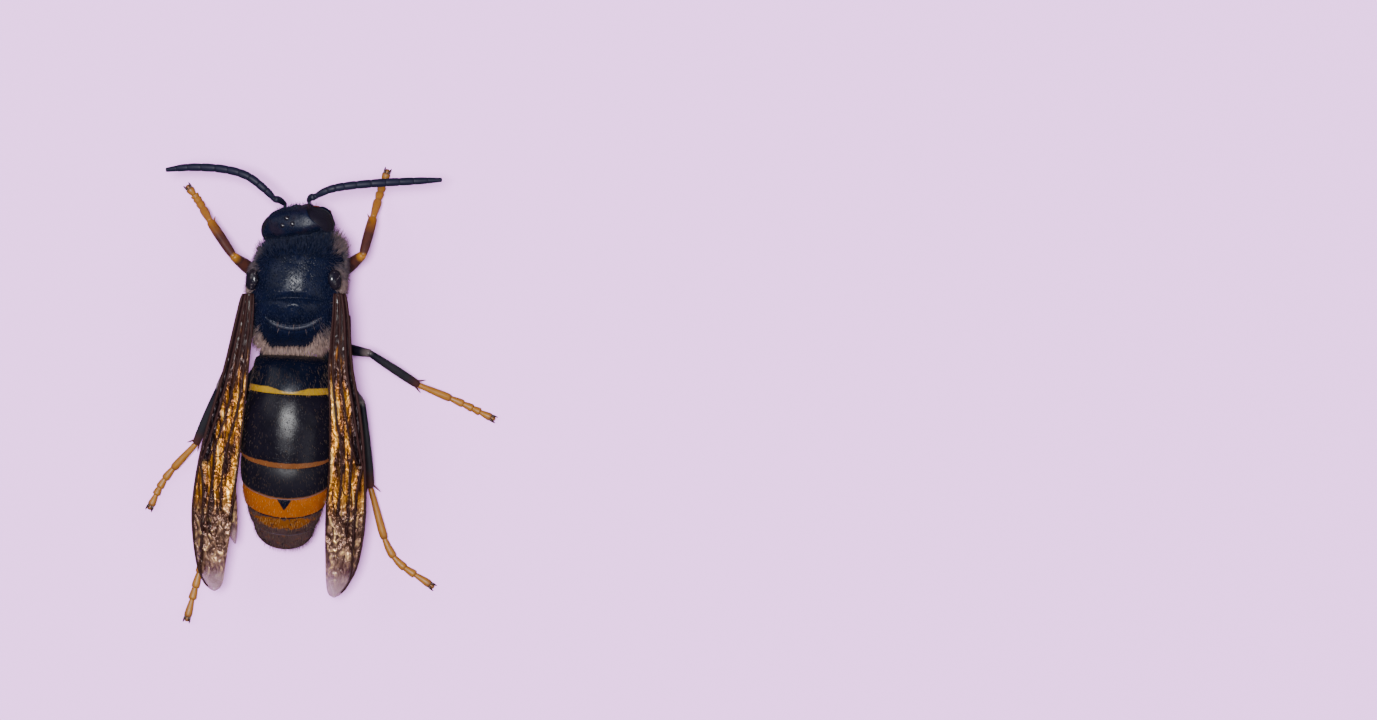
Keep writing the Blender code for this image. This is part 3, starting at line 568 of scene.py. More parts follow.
def grain(tree, place, scale, detail=3.0, stretch=None, distortion=0.0):
    """Noise at a number of lumps to the millimetre."""
    if stretch is not None:
        place = node(tree, "Mapping", {"Vector": place, "Scale": stretch}).outputs["Vector"]
    return node(tree, "TexNoise", {"Vector": place, "Scale": scale, "Detail": detail,
                                   "Distortion": distortion}).outputs["Fac"]


def step_up(tree, value, low, high):
    """0 below low, 1 above high."""
    return node(tree, "MapRange", {"Value": value, "From Min": low, "From Max": high},
                interpolation_type="SMOOTHSTEP").outputs["Result"]


def mixed(tree, factor, first, second):
    """One colour turning into another."""
    made = node(tree, "Mix", data_type="RGBA")
    for index, value in ((0, factor), (6, first), (7, second)):
        if isinstance(value, bpy.types.NodeSocket):
            tree.links.new(value, made.inputs[index])
        elif index == 0:
            made.inputs[index].default_value = value
        else:
            made.inputs[index].default_value = (*value, 1.0)
    return made.outputs[2]


def ramp(tree, value, stops):
    """A colour ramp of (place, colour)."""
    made = node(tree, "ValToRGB", {"Fac": value})
    elements = made.color_ramp.elements
    while len(elements) < len(stops):
        elements.new(0.5)
    for element, (place, colour) in zip(elements, stops):
        element.position = place
        element.color = (*colour, 1.0)
    return made.outputs["Color"]


def new_material(name, **uniform):
    """A material and its shader; uniform values go straight onto the shader's sockets."""
    material = bpy.data.materials.new(name)
    material.use_nodes = True
    shader = material.node_tree.nodes["Principled BSDF"]
    for key, value in uniform.items():
        shader.inputs[key.replace("_", " ")].default_value = value
    return material, material.node_tree, shader


def join_up(tree, shader, **sockets):
    """Links from sockets to the shader's inputs."""
    for key, socket in sockets.items():
        tree.links.new(socket, shader.inputs[key.replace("_", " ")])


def bump(tree, height, distance, strength=1.0, normal=None):
    """A bump of a depth in millimetres."""
    inputs = {"Height": height, "Distance": distance * MM, "Strength": strength}
    if normal is not None:
        inputs["Normal"] = normal
    return node(tree, "Bump", inputs).outputs["Normal"]


def pits(tree, place, scale, size=0.45):
    """Round punctures, a number to the millimetre."""
    cells = node(tree, "TexVoronoi", {"Vector": place, "Scale": scale}).outputs["Distance"]
    return step_up(tree, cells, 0.05, size)


def shell_finish(name, dark, sheen_colour):
    """Near-black shell with punctures darkened by painted shade, fine grain and a faint cool sheen; where a
    piece marks a raised rib, that rib gets a painted grey sheen.
    """
    material, tree, shader = new_material(name, Specular_IOR_Level=0.08, Sheen_Weight=0.01,
                                          Sheen_Roughness=0.45)
    shader.inputs["Sheen Tint"].default_value = (*sheen_colour, 1.0)
    place = millimetres(tree)
    cloud = grain(tree, place, 1.3, 4)
    colour = mixed(tree, cloud, shade(dark, 0.5), shade(dark, 1.9))
    holes = pits(tree, place, 7.0)
    # The punctures are darkened: painted shade in their hollows
    colour = mixed(tree, holes, shade(dark, 0.35), colour)
    # A painted grey sheen along the raised rib behind the scutellum
    line = times(tree, value_of(tree, "ridge_sheen"), scaled(tree, cloud, 0.8, 0.2))
    colour = mixed(tree, line, colour, (0.040, 0.042, 0.055))
    fine = grain(tree, place, 26.0, 2)
    lumps = grain(tree, place, 3.4, 5)
    height = plus(tree, times(tree, holes, 0.5), times(tree, fine, 0.25))
    height = plus(tree, height, times(tree, lumps, 0.7))
    gloss = scaled(tree, step_up(tree, lumps, 0.35, 0.65), 0.20, 0.14)
    join_up(tree, shader, Base_Color=colour, Roughness=gloss, Normal=bump(tree, height, 0.035, 0.8))
    return material


# Pile


class Roots:
    """Places where hairs grow on a grid's skin, chosen by area and by a density for each cell."""

    def __init__(self, grid, density, seed, dice=None):
        near, far = grid[:-1], grid[1:]
        a, b = near, np.roll(near, -1, axis=1)
        c, d = np.roll(far, -1, axis=1), far
        facing = np.cross(c - a, d - b) / 2
        centre = (a + b + c + d) / 4
        middle = (near.mean(axis=1) + far.mean(axis=1))[:, None] / 2
        facing *= np.sign((facing * (centre - middle)).sum(axis=-1, keepdims=True))
        area = np.linalg.norm(facing, axis=-1)
        facing = facing / np.maximum(area, 1e-9)[..., None]
        rows, around = area.shape
        weight = area * density(centre, facing)
        self.dice = dice or np.random.default_rng(seed)
        self.count = int(weight.sum())
        pick = self.dice.choice(weight.size, self.count, p=(weight / weight.sum()).ravel())
        s, t = self.dice.random((2, self.count, 1))
        a, b, c, d = (corner.reshape(-1, 3)[pick] for corner in (a, b, c, d))
        self.points = (a * (1 - s) + b * s) * (1 - t) + (d * (1 - s) + c * s) * t
        self.facing = facing.reshape(-1, 3)[pick]
        self.cell = (pick // around, pick % around)
        self.layout = np.concatenate((
            (self.cell[1][:, None] + s) / around, 0.004 + 0.992 * (self.cell[0][:, None] + t) / rows), axis=1)

    def jitter(self, amount):
        """A small random vector for each root."""
        return self.dice.normal(0, amount, (self.count, 3))

    def lengths(self, length, spread=0.3):
        """A length for each root, varied by a share."""
        return length * (1 + self.dice.uniform(-spread, spread, self.count))


def unit(vectors):
    """Vectors of length 1."""
    return vectors / np.maximum(np.linalg.norm(vectors, axis=-1, keepdims=True), 1e-9)


def grow(name, roots, heading, length, radius, tone, bend, material):
    """A coat of fine closed spikes: two rings of three points and a tip each, laid out at their roots."""
    heading = unit(heading)
    across = unit(np.cross(heading, roots.dice.normal(0, 1, heading.shape)))
    up = np.cross(heading, across)
    length = length[:, None]
    middle = roots.points + heading * length * 0.5 + bend * length * 0.12
    tip = roots.points + heading * length * 0.95 + bend * length * 0.45
    foot = roots.points - heading * 0.03
    points = np.empty((roots.count, 7, 3))
    layout = np.empty((roots.count, 7, 2))
    for corner in range(3):
        angle = math.tau * corner / 3
        spoke = across * math.cos(angle) + up * math.sin(angle)
        flat = np.array((math.cos(angle), math.sin(angle)))
        points[:, corner] = foot + spoke * radius
        points[:, corner + 3] = middle + spoke * radius * 0.7
        layout[:, corner] = roots.layout + flat * 0.0014
        layout[:, corner + 3] = roots.layout + flat * 0.0007
    points[:, 6] = tip
    layout[:, 6] = roots.layout
    start = np.arange(roots.count)[:, None, None] * 7
    quads = (start + np.array(((0, 1, 4, 3), (1, 2, 5, 4), (2, 0, 3, 5)))).reshape(-1, 4)
    tris = (start + np.array(((3, 4, 6), (4, 5, 6), (5, 3, 6), (2, 1, 0)))).reshape(-1, 3)
    mesh = bpy.data.meshes.new(name)
    fill_mesh(mesh, points.reshape(-1, 3), (quads, tris))
    layer = mesh.uv_layers.new(name="OFBake")
    corners = np.concatenate((quads.ravel(), tris.ravel()))
    layer.data.foreach_set("uv", layout.reshape(-1, 2)[corners].astype(np.float32).ravel())
    write_value(mesh, "tone", np.repeat(tone, 7))
    mesh.shade_smooth()
    return settle(add_object(name, mesh), (), (material,))


def pile_finish(name, dark, pale):
    """Hair that runs from a dark tone to a pale one."""
    material, tree, shader = new_material(name, Roughness=0.55, Specular_IOR_Level=0.35)
    place = millimetres(tree)
    cloud = grain(tree, place, 2.5, 3)
    tone = plus(tree, value_of(tree, "tone"), scaled(tree, cloud, 0.3, -0.15), clamp=True)
    join_up(tree, shader, Base_Color=mixed(tree, tone, dark, pale))
    return material


def grow_thorax_pile(grid, settings):
    """Long dark pile on the collar, tan pile on the flanks and the waist's rim, short velvet on the back."""

    def back_density(centre, facing):
        collar = ease(centre[..., 1], 8.6, 9.3)
        velvet = ease(facing[..., 2], 0.1, 0.5) * (1 - collar)
        return 110 * collar * ease(facing[..., 2], -0.6, 0.0) + 45 * velvet * ease(centre[..., 1], 4.2, 4.6)

    roots = Roots(grid, back_density, 11)
    collar = ease(roots.points[:, 1], 8.5, 9.5)
    middle = THORAX[4][4]
    offset = (roots.points[:, 0] - middle) / 3.0
    level = np.ones_like(offset)
    onward = np.stack((offset * 0.5 * collar, 1.1 * collar - 0.9 * (1 - collar), 0.25 * level), axis=-1)
    heading = roots.facing * (0.55 + 0.35 * collar)[:, None] + onward * 0.8 + roots.jitter(0.22)
    length = roots.lengths(0.16 + 0.44 * collar)
    sides = ease(np.abs(offset), 0.55, 0.95) * collar
    tone = -0.15 + 0.60 * sides * roots.dice.uniform(0.4, 1.2, roots.count)
    bend = np.stack((np.zeros_like(offset), -0.5 + 0.9 * collar, -0.3 * np.ones_like(offset)), axis=-1)
    material = pile_finish("thorax_pile", settings.pile_dark, settings.pile_pale)
    grow("back_pile", roots, heading, length, BACK_HAIR_RADIUS, tone, bend, material)

    def flank_density(centre, facing):
        flank = (1 - ease(facing[..., 2], 0.15, 0.55)) * ease(facing[..., 2], -0.95, -0.5)
        y = centre[..., 1]
        offset = centre[..., 0] - THORAX[9][4]
        drop = np.clip((4.4 - y) / 1.38, 0, 1)
        beside = ease(np.abs(offset + 0.15 + 0.30 * drop) - 1.95 + 1.0 * drop, -0.10, 0.25)
        strip = 2.6 * (1 - ease(y, 3.14, 3.34))
        rear = (1 - ease(y, 4.1, 4.9)) * np.maximum(beside, strip) * ease(facing[..., 2], -0.7, -0.2)
        tufts = sum(hump(np.hypot(centre[..., 0] - x, y - level), 0.36) for x, level in TEGULA_TUFTS)
        coat = np.maximum(flank * ease(y, 3.2, 3.6), 1.6 * rear)
        return 105 * coat + 330 * tufts * ease(facing[..., 2], -0.4, 0.1)

    roots = Roots(grid, flank_density, 12)
    rear = 1 - ease(roots.points[:, 1], 3.6, 4.6)
    offset = (roots.points[:, 0] - middle) / 3.0
    backward = np.stack((offset * 0.5, -0.75 - 0.5 * rear, 0.45 * rear), axis=-1)
    heading = roots.facing + backward * 0.8 + roots.jitter(0.20)
    length = roots.lengths(0.40 + 0.10 * rear + 0.14 * (1 - ease(roots.points[:, 1], 3.12, 3.35)))
    tufts = sum(hump(np.hypot(roots.points[:, 0] - x, roots.points[:, 1] - y), 0.5) for x, y in TEGULA_TUFTS)
    tone = 0.26 + 0.60 * np.maximum.reduce([rear, 0.55 * ease(np.abs(offset), 0.9, 1.0), 0.8 * tufts])
    tone = tone * roots.dice.uniform(0.35, 1.2, roots.count) * (1 - 0.60 * ease(roots.points[:, 1], 6.9, 8.4))
    bend = np.stack((offset * 0.2, -0.4 * np.ones_like(offset), -0.2 - 0.1 * rear), axis=-1)
    grow("flank_pile", roots, heading, length, FLANK_HAIR_RADIUS, tone, bend, material)


def grow_head_pile(grid, place, settings):
    """Dark pile on the crown and nape, thinner on the brow."""
    turn = np.array(place.to_3x3())
    centre_point = np.array(place.translation)

    def density(centre, facing):
        local = (centre - centre_point) @ turn
        away = 1 - np.maximum.reduce([
            ease(local @ eye_normal(side), EYE_SEAT - 0.12, EYE_SEAT - 0.02) for side in SIDES.values()])
        crown = ease(local[..., 2], 0.9, 1.6)
        nape = 1 - ease(local[..., 1], -0.5, 0.1)
        face = ease(local[..., 1], 0.4, 0.9) * (1 - ease(local[..., 2], 0.6, 1.4)) * 0.25
        return 85 * np.maximum.reduce([crown * 0.8, nape, face]) * away

    roots = Roots(grid, density, 21)
    local = (roots.points - centre_point) @ turn
    nape = 1 - ease(local[:, 1], -0.6, 0.0)
    heading = roots.facing * 0.9 + np.array((0, 0.15, 0.25)) + roots.jitter(0.28)
    length = roots.lengths(0.24 + 0.14 * nape)
    tone = -0.10 + 0.35 * ease(np.abs(local[:, 0]), 1.6, 2.4) * roots.dice.uniform(0.2, 1.0, roots.count)
    bend = np.stack((np.zeros(roots.count), 0.3 * np.ones(roots.count), np.zeros(roots.count)), axis=-1)
    material = pile_finish("head_pile", settings.pile_dark, settings.pile_pale)
    grow("head_hair", roots, heading, length, HEAD_HAIR_RADIUS, tone, bend, material)


def grow_gaster_pile(shells):
    """Short appressed hairs, golden on the coloured bands and grey elsewhere."""
    for number, (grid, marks) in enumerate(shells):
        tucked = 0 if number == 0 else 2
        outer = grid[tucked:] if number == PLATE_COUNT - 1 else grid[tucked:-len(FREE_EDGE)]
        amount = (34, 12, 22, 22, 30, 34)[number]
        roots = Roots(outer, lambda centre, facing: amount * np.ones(facing.shape[:-1]), 31 + number)
        backward = np.array((0, -1.0, -0.15))
        heading = roots.facing * 0.42 + backward + roots.jitter(0.16)
        length = roots.lengths(0.17 if number in (1, 2, 3) else 0.24)
        inside = marks[tucked:][roots.cell[0], roots.cell[1]] > 0
        tone = np.where(inside, 0.75, 0.12) * roots.dice.uniform(0.6, 1.2, roots.count)
        bend = np.tile(np.array((0, -0.2, -0.1)), (roots.count, 1))
        material = pile_finish(f"gaster_hair_{number + 1}", (0.018, 0.014, 0.018), (0.34, 0.18, 0.05))
        grow(f"gaster_hair_{number + 1}", roots, heading, length, GASTER_HAIR_RADIUS, tone, bend,
             material)


# Thorax


def thorax_detail(station, offset, upward):
    """Height of seams, furrows and bosses on the thorax."""
    back = ease(upward, 0.05, 0.55)
    side = 1 - ease(upward, 0.25, 0.6)
    wide = np.abs(offset)
    lift = -0.070 * hump(station - COLLAR_SEAM, 0.055) * ease(upward, -0.75, -0.45) * (1 - 0.97 * back)
    lift -= 0.010 * hump(offset, 0.05) * window(station, 7.5, 8.45, 0.3) * back
    lift -= 0.008 * hump(wide - 0.98, 0.06) * window(station, 6.85, 8.1, 0.3) * back
    lift -= 0.025 * hump(wide - 2.22, 0.07) * window(station, 6.45, 8.3, 0.3) * back
    lift -= 0.075 * hump(station - SCUTELLUM_FRONT, 0.05) * back
    behind = station - SCUTELLUM_REAR - SCUTELLUM_CURVE * offset ** 2
    lift -= 0.085 * hump(behind, 0.05) * back * (1 - ease(wide, 1.7, 2.1))
    slopes = window(station, 5.35, 6.2, 0.15) * (1 - ease(wide, 0.8, 1.1))
    lift += 0.05 * hump(station - 6.02 + 0.42 * wide, 0.16) * slopes * back
    lift += 0.060 * hump(behind + RIDGE_GAP, 0.09) * (1 - ease(wide, 1.3, 1.9)) * back
    lift -= 0.070 * hump(behind + 0.40, 0.05) * back * (1 - ease(wide, 1.7, 2.1))
    lift -= 0.110 * hump(offset, 0.16) * (1 - ease(station, 3.9, 4.15)) * back
    lift -= 0.070 * hump(station - SIDE_SEAM + 0.25 * upward, 0.06) * side
    lift -= 0.060 * hump(station - 6.75 - 0.5 * upward, 0.06) * side * ease(upward, -0.7, -0.4)
    lift -= 0.050 * hump(upward + 0.30, 0.07) * window(station, 5.1, 8.4, 0.1) * side
    return lift


def thorax_grid(rows, around):
    """Rings of the thorax from the neck to the waist, and where the painted grey sheen on its raised rib
    runs.
    """
    across, upward = oval(around, THORAX_POWER)
    grid = np.empty((rows, around, 3))
    ridge_sheen = np.empty((rows, around))
    for index, station in enumerate(np.linspace(THORAX[0][0], THORAX[-1][0], rows)):
        half_width, low, high, middle, sweep, lead = blend(THORAX, station)
        reach = (high - low) / 2
        offset = half_width * across
        swelling = 0.16 * max(0.0, 1 - ((station - 5.525) / 0.905) ** 2)
        furrows = hump(station - SCUTELLUM_FRONT, 0.22) + hump(
            station - SCUTELLUM_REAR - SCUTELLUM_CURVE * offset ** 2, 0.22)
        relief = np.clip(1 - (offset / BACK_HALF_WIDTH) ** 2, 0, 1) * (swelling - 0.15 * furrows)
        relief = np.where(upward > 0, relief, 0.0)
        normal = np.stack((across / half_width, upward / reach), axis=-1)
        normal /= np.linalg.norm(normal, axis=-1, keepdims=True)
        lift = thorax_detail(station, offset, upward)
        grid[index, :, 0] = middle + offset + normal[:, 0] * lift
        grid[index, :, 1] = station + lead * offset - sweep * (offset / half_width) ** 2
        grid[index, :, 2] = (low + high) / 2 + reach * upward + relief + normal[:, 1] * lift
        behind = station - SCUTELLUM_REAR - SCUTELLUM_CURVE * offset ** 2
        # Where the painted grey sheen on the raised rib lies
        ridge_sheen[index] = hump(behind + RIDGE_GAP, 0.07)
        ridge_sheen[index] *= (1 - ease(np.abs(offset), 1.2, 1.7)) * ease(upward, 0.3, 0.6)
    grid += rough(grid, 0.9, 1)[..., None] * 0.02
    return grid, ridge_sheen


def make_thorax(settings):
    """One shell from the collar to the waist, and the neck and the waist's stalk."""
    grid, ridge_sheen = thorax_grid(THORAX_ROWS, THORAX_AROUND)
    shell = shell_finish("thorax_shell", settings.dark, settings.sheen)
    thorax = add_grid("thorax", grid, {"ridge_sheen": ridge_sheen})
    settle(thorax, ("pronotum", "mesothorax", "propodeum"), (shell,))
    grow_thorax_pile(grid, settings)
    limb = turned(limb_outline(10), 32)
    skin = shell_finish("joint_skin", shade(settings.dark, 0.8), settings.sheen)
    joints = Shape()
    neck = [Vector((-1.25, 11.0, 4.15)), Vector((-1.28, 10.5, 4.2)), Vector((-1.30, 9.9, 4.3))]
    joints.add(carry(limb, neck, (0.85, 0.95, 1.3)), limb[1])
    stalk = [Vector((-1.66, 3.5, 3.38)), Vector((-1.67, 3.0, 3.32)), Vector((-1.69, 2.45, 3.3))]
    joints.add(carry(limb, stalk, (0.75, 0.46, 0.62)), limb[1])
    settle(add_shape("neck_and_waist", joints), (), (skin,))


# Gaster


def gaster_ring(y, swell, across, upward):
    """One ring of the gaster on its leaning plane."""
    z, x, lean, half_width, rise, drop = blend(list(GASTER.values()), y)
    tilt = math.radians(lean)
    reach = np.where(upward > 0, rise + swell, drop + swell) * upward
    offset = (half_width + swell) * across
    return np.stack((x + offset, y - GASTER_YAW * offset - math.sin(tilt) * reach,
                     z + math.cos(tilt) * reach), axis=-1)


def tail_ring(share, across, upward):
    """One ring of the last plate, which rounds off at the sting's opening."""
    start, end = GASTER["fifth_joint"], GASTER["tail"]
    y, z, x, lean = (start[i] + (end[i] - start[i]) * share for i in range(4))
    fullness = math.sqrt(max(0.0, 1 - share ** 2.1))
    half_width, rise, drop = (end[i] + (start[i] - end[i]) * fullness for i in range(4, 7))
    if share >= 1:
        half_width, rise, drop = 0.12, 0.09, 0.09
    tilt = math.radians(lean)
    reach = np.where(upward > 0, rise, drop) * upward
    offset = half_width * across
    return np.stack((x + offset, y - GASTER_YAW * offset - math.sin(tilt) * reach,
                     z + math.cos(tilt) * reach), axis=-1)


def band_marks(number, front, rear, offset):
    """How far inside its coloured band each point lies, in millimetres; front and rear are its distances."""
    wide = np.abs(offset)
    if number == 0:
        return 0.14 + 0.24 * ease(wide, 0.2, 1.5) - rear
    if number == 1:
        return 0.30 - 0.10 * ease(wide, 1.5, 2.8) - rear
    if number == 2:
        return 0.10 - rear
    if number == 3:
        triangle = np.maximum(wide - 0.52 * (1 - front / 0.74), front - 0.74)
        return np.minimum(triangle, rear - 0.07)
    if number == 4:
        notch = np.maximum(wide - 0.26 * (1 - front / 0.26), front - 0.26)
        band = np.minimum(front - 0.04, 0.72 - front) - 0.30 * ease(wide, 0.8, 2.1)
        return np.minimum(band, notch)
    return -np.ones_like(offset)


def plate_rows(number):
    """Stations and swellings of one plate, tucked under the one before it and folded in at its free edge."""
    joints = [GASTER["waist"][0]] + [row[0] for name, row in GASTER.items() if name.endswith("joint")]
    front, rear = joints[number], joints[number + 1]
    count = (60, 100, 52, 40, 36)[number]
    rows = [] if number == 0 else [(front + 0.30, -0.14), (front + 0.15, -0.12)]
    for share in np.linspace(0, 1, count):
        place = share ** 1.6 if number == 0 else share
        belly = PLATE_BELLY[number] * math.sin(math.pi * share ** 0.72)
        swell = 0.05 * share ** 2 if number == 0 else -0.08 + 0.13 * share ** 0.8 + belly
        rows.append((front + (rear - front) * place, swell))
    rows += [(rear + ahead, swell) for ahead, swell in FREE_EDGE]
    return rows, front, rear


def plate_grid(number):
    """Rings of one plate of the gaster, with its band's marks and its free edge."""
    across, upward = oval(GASTER_AROUND, GASTER_POWER)
    if number < PLATE_COUNT - 1:
        rows, front, rear = plate_rows(number)
        rings = [gaster_ring(y, swell, across, upward) for y, swell in rows]
        stations = [row[0] for row in rows]
    else:
        start, end = GASTER["fifth_joint"][0], GASTER["tail"][0]
        front, rear = start, end
        rings = [gaster_ring(start + ahead, swell, across, upward) for ahead, swell in TAIL_TUCK]
        shares = np.linspace(0, 1, 56) ** 0.75
        rings += [tail_ring(share, across, upward) for share in shares]
        stations = [start + ahead for ahead, _ in TAIL_TUCK]
        stations += [start + (end - start) * share for share in shares]
    grid = np.array(rings)
    middle = grid[:, :, 0].mean(axis=1, keepdims=True)
    offset = grid[:, :, 0] - middle
    progress = np.clip((front - np.array(stations)) / (front - rear), 0, 1)[:, None]
    curve = EDGE_CURVE[number] * progress + (EDGE_CURVE[number - 1] if number else 0) * (1 - progress)
    grid[:, :, 1] += curve * across ** 2 * ease(upward, -0.6, 0.0)
    place = np.array(stations)[:, None] * np.ones_like(offset)
    marks = band_marks(number, front - place, place - rear, offset)
    lateral = 0.06 * hump(upward + 0.62, 0.05)
    inward = np.stack((across, np.zeros_like(across), upward), axis=-1)
    grid -= inward[None] * lateral[None, :, None]
    grid += rough(grid, 0.8, 2 + number)[..., None] * 0.015
    edge = np.clip(place - rear, -1, 3)
    return grid, np.clip(marks, -1, 1), edge


def plate_finish(number, settings):
    """Satin plate: dark ground, one coloured band with a ragged margin, thin pale free edge that is partly
    its own colour and partly a painted highlight, fine grain.
    """
    grounds = (settings.black, settings.smoke, settings.smoke, settings.black, settings.umber, settings.umber)
    bands = (settings.yellow, settings.tawny, settings.tawny, settings.orange, settings.rust, settings.rust)
    material, tree, shader = new_material(f"gaster_plate_{number + 1}_finish", Specular_IOR_Level=0.085)
    place = millimetres(tree)
    cloud = grain(tree, place, 1.1, 5)
    ground = tuple(grounds[number])
    colour = mixed(tree, cloud, shade(ground, 0.6), shade(ground, 1.8))
    rag = 0.55 if number == 4 else 0.12
    ragged = scaled(tree, grain(tree, place, 5.0, 4), rag, -rag / 2)
    wander = plus(tree, value_of(tree, "band"), ragged)
    inside = step_up(tree, wander, -0.035, 0.035)
    band = tuple(bands[number])
    tone = mixed(tree, grain(tree, place, 2.2, 4), shade(band, 0.72), [
        min(1.0, channel * 1.25) for channel in band])
    speckle = step_up(tree, grain(tree, place, 9.0, 3), 0.60, 0.72)
    tone = mixed(tree, times(tree, speckle, 0.35), tone, settings.umber)
    colour = mixed(tree, inside, colour, tone)
    if number in (4, 5):
        mottle = step_up(tree, grain(tree, place, 3.2, 5, distortion=0.6), 0.56, 0.66)
        colour = mixed(tree, times(tree, mottle, 0.35), colour, settings.tawny)
        spots = step_up(tree, grain(tree, place, 4.1, 5, distortion=0.8), 0.57, 0.64)
        colour = mixed(tree, times(tree, spots, 0.75), colour, settings.black)
    # Pale free edge on some plates: partly the rim's own pale colour, partly a painted highlight on the
    # rolled rim
    edge = step_up(tree, value_of(tree, "edge"), 0.05, 0.015)
    if number in (2, 4):
        colour = mixed(tree, times(tree, edge, 0.55), colour, settings.margin)
    holes = pits(tree, place, 8.0, 0.35)
    fine = grain(tree, place, 30.0, 2)
    height = plus(tree, times(tree, holes, 0.5), times(tree, fine, 0.4))
    gloss = scaled(tree, cloud, 0.20, 0.30 if number == 2 else 0.15)
    join_up(tree, shader, Base_Color=colour, Roughness=gloss, Normal=bump(tree, height, 0.02, 0.6))
    return material


def make_gaster(settings):
    """Six plates, each sliding under the one ahead of it."""
    shells = []
    for number in range(PLATE_COUNT):
        grid, marks, edge = plate_grid(number)
        plate = add_grid(f"gaster_plate_{number + 1}", grid, {"band": marks, "edge": edge})
        settle(plate, (f"gaster_{number + 1}",), (plate_finish(number, settings),))
        shells.append((grid, marks))
    grow_gaster_pile(shells)


# Head


def head_place():
    """The head's own frame in the part's frame."""
    turn = Matrix.Rotation(HEAD_TURN, 4, "Z") @ Matrix.Rotation(HEAD_TILT, 4, "Y")
    return Matrix.Translation(HEAD_CENTRE) @ turn


def placed(points, place):
    """Points carried by a matrix."""
    turn = np.array(place.to_3x3())
    return points @ turn.T + np.array(place.translation)


def eye_normal(side):
    """The way that an eye looks, in the head's frame."""
    return np.array((side * math.cos(EYE_FACING), math.sin(EYE_FACING), 0.0))


def eye_reach(points, side):
    """How far points lie from an eye's middle, as seen along its look: 1 where its skin leaves the head."""
    along = np.array((-side * math.sin(EYE_FACING), math.cos(EYE_FACING), 0.0))
    centre = np.array((side * EYE_CENTRE[0], *EYE_CENTRE[1:]))
    depth = EYE_SEAT - centre @ eye_normal(side)
    share = math.sqrt(1 - (depth / EYE_RADII[0]) ** 2)
    away = points - centre
    return np.hypot(away @ along / (EYE_RADII[1] * share), away[..., 2] / (EYE_RADII[2] * share))


def face_detail(x, z):
    """How far the face stands out: clypeus, boss between the feelers, their sockets and the brow's groove."""
    centre_x, centre_z, half_width, half_height = CLYPEUS
    ring = np.sqrt(((x - centre_x) / half_width) ** 2 + ((z - centre_z) / half_height) ** 2)
    lift = 0.08 * ease(1.02 - ring, 0.0, 0.55) - 0.06 * hump(ring - 1.04, 0.05)
    lift += 0.13 * hump(x + 0.08, 0.22) * hump(z - 0.05, 0.45)
    lift -= 0.05 * hump(x, 0.05) * window(z, 0.55, 1.95, 0.2)
    lift += 0.05 * hump(np.abs(x) - 0.5, 0.35) * hump(z - 1.1, 0.5)
    for place in SOCKET.values():
        away = np.hypot(x - place[0], z - place[2])
        lift += 0.07 * hump(away - 0.29, 0.06) - 0.14 * hump(away, 0.19)
    return lift


def head_grid(rows, around):
    """Rings of the head from the crown down, in the head's frame."""
    across, forward = oval(around, HEAD_POWER)
    grid = np.empty((rows, around, 3))
    shares = np.linspace(0, 1, rows)
    heights = HEAD[0][0] + (HEAD[-1][0] - HEAD[0][0]) * (shares - 0.055 * np.sin(math.tau * shares))
    for index, height in enumerate(heights):
        half_width, front, back = blend(HEAD, height)
        x = half_width * across
        y = np.where(forward > 0, front, -back) * forward
        if front < 0:
            y = (front + back) / 2 + (front - back) / 2 * forward
        hollow = NAPE_HOLLOW * np.clip(1 - across ** 2, 0, 1) * math.exp(-((height - 0.2) / 1.3) ** 2)
        y = y + np.where(forward < 0, hollow, 0.0)
        y = y + face_detail(x, np.full(around, height)) * ease(forward, 0.15, 0.5)
        y = y - 0.15 * ease(-height, -0.1, 0.5) * ease(forward, 0.1, 0.5)
        grid[index] = np.stack((x, y, np.full(around, height)), axis=-1)
    for side in SIDES.values():
        normal = eye_normal(side)
        beyond = np.clip(grid @ normal - (EYE_SEAT + 0.02), 0, None)
        grid -= normal * (beyond * (1 - ease(eye_reach(grid, side), 1.0, 1.22)))[..., None]
    grid += rough(grid, 0.8, 9)[..., None] * 0.015
    return grid


def face_marks(grid):
    """How far inside the orange part of the face each point lies, and how reddish the brow is."""
    x, y, z = grid[..., 0], grid[..., 1], grid[..., 2]
    centre_x, centre_z, half_width, half_height = CLYPEUS
    ring = np.sqrt(((x - centre_x) / half_width) ** 2 + ((z - centre_z) / half_height) ** 2)
    shield = 1.10 - ring
    orange = np.minimum(shield - 0.08, -0.45 - z)
    orange = np.where(y > 0.3, orange, -1.0)
    red = 0.9 * hump(x - 0.75, 0.55) * hump(z - 0.9, 0.8) * ease(y, 0.2, 0.9)
    return np.clip(orange, -1, 1), red


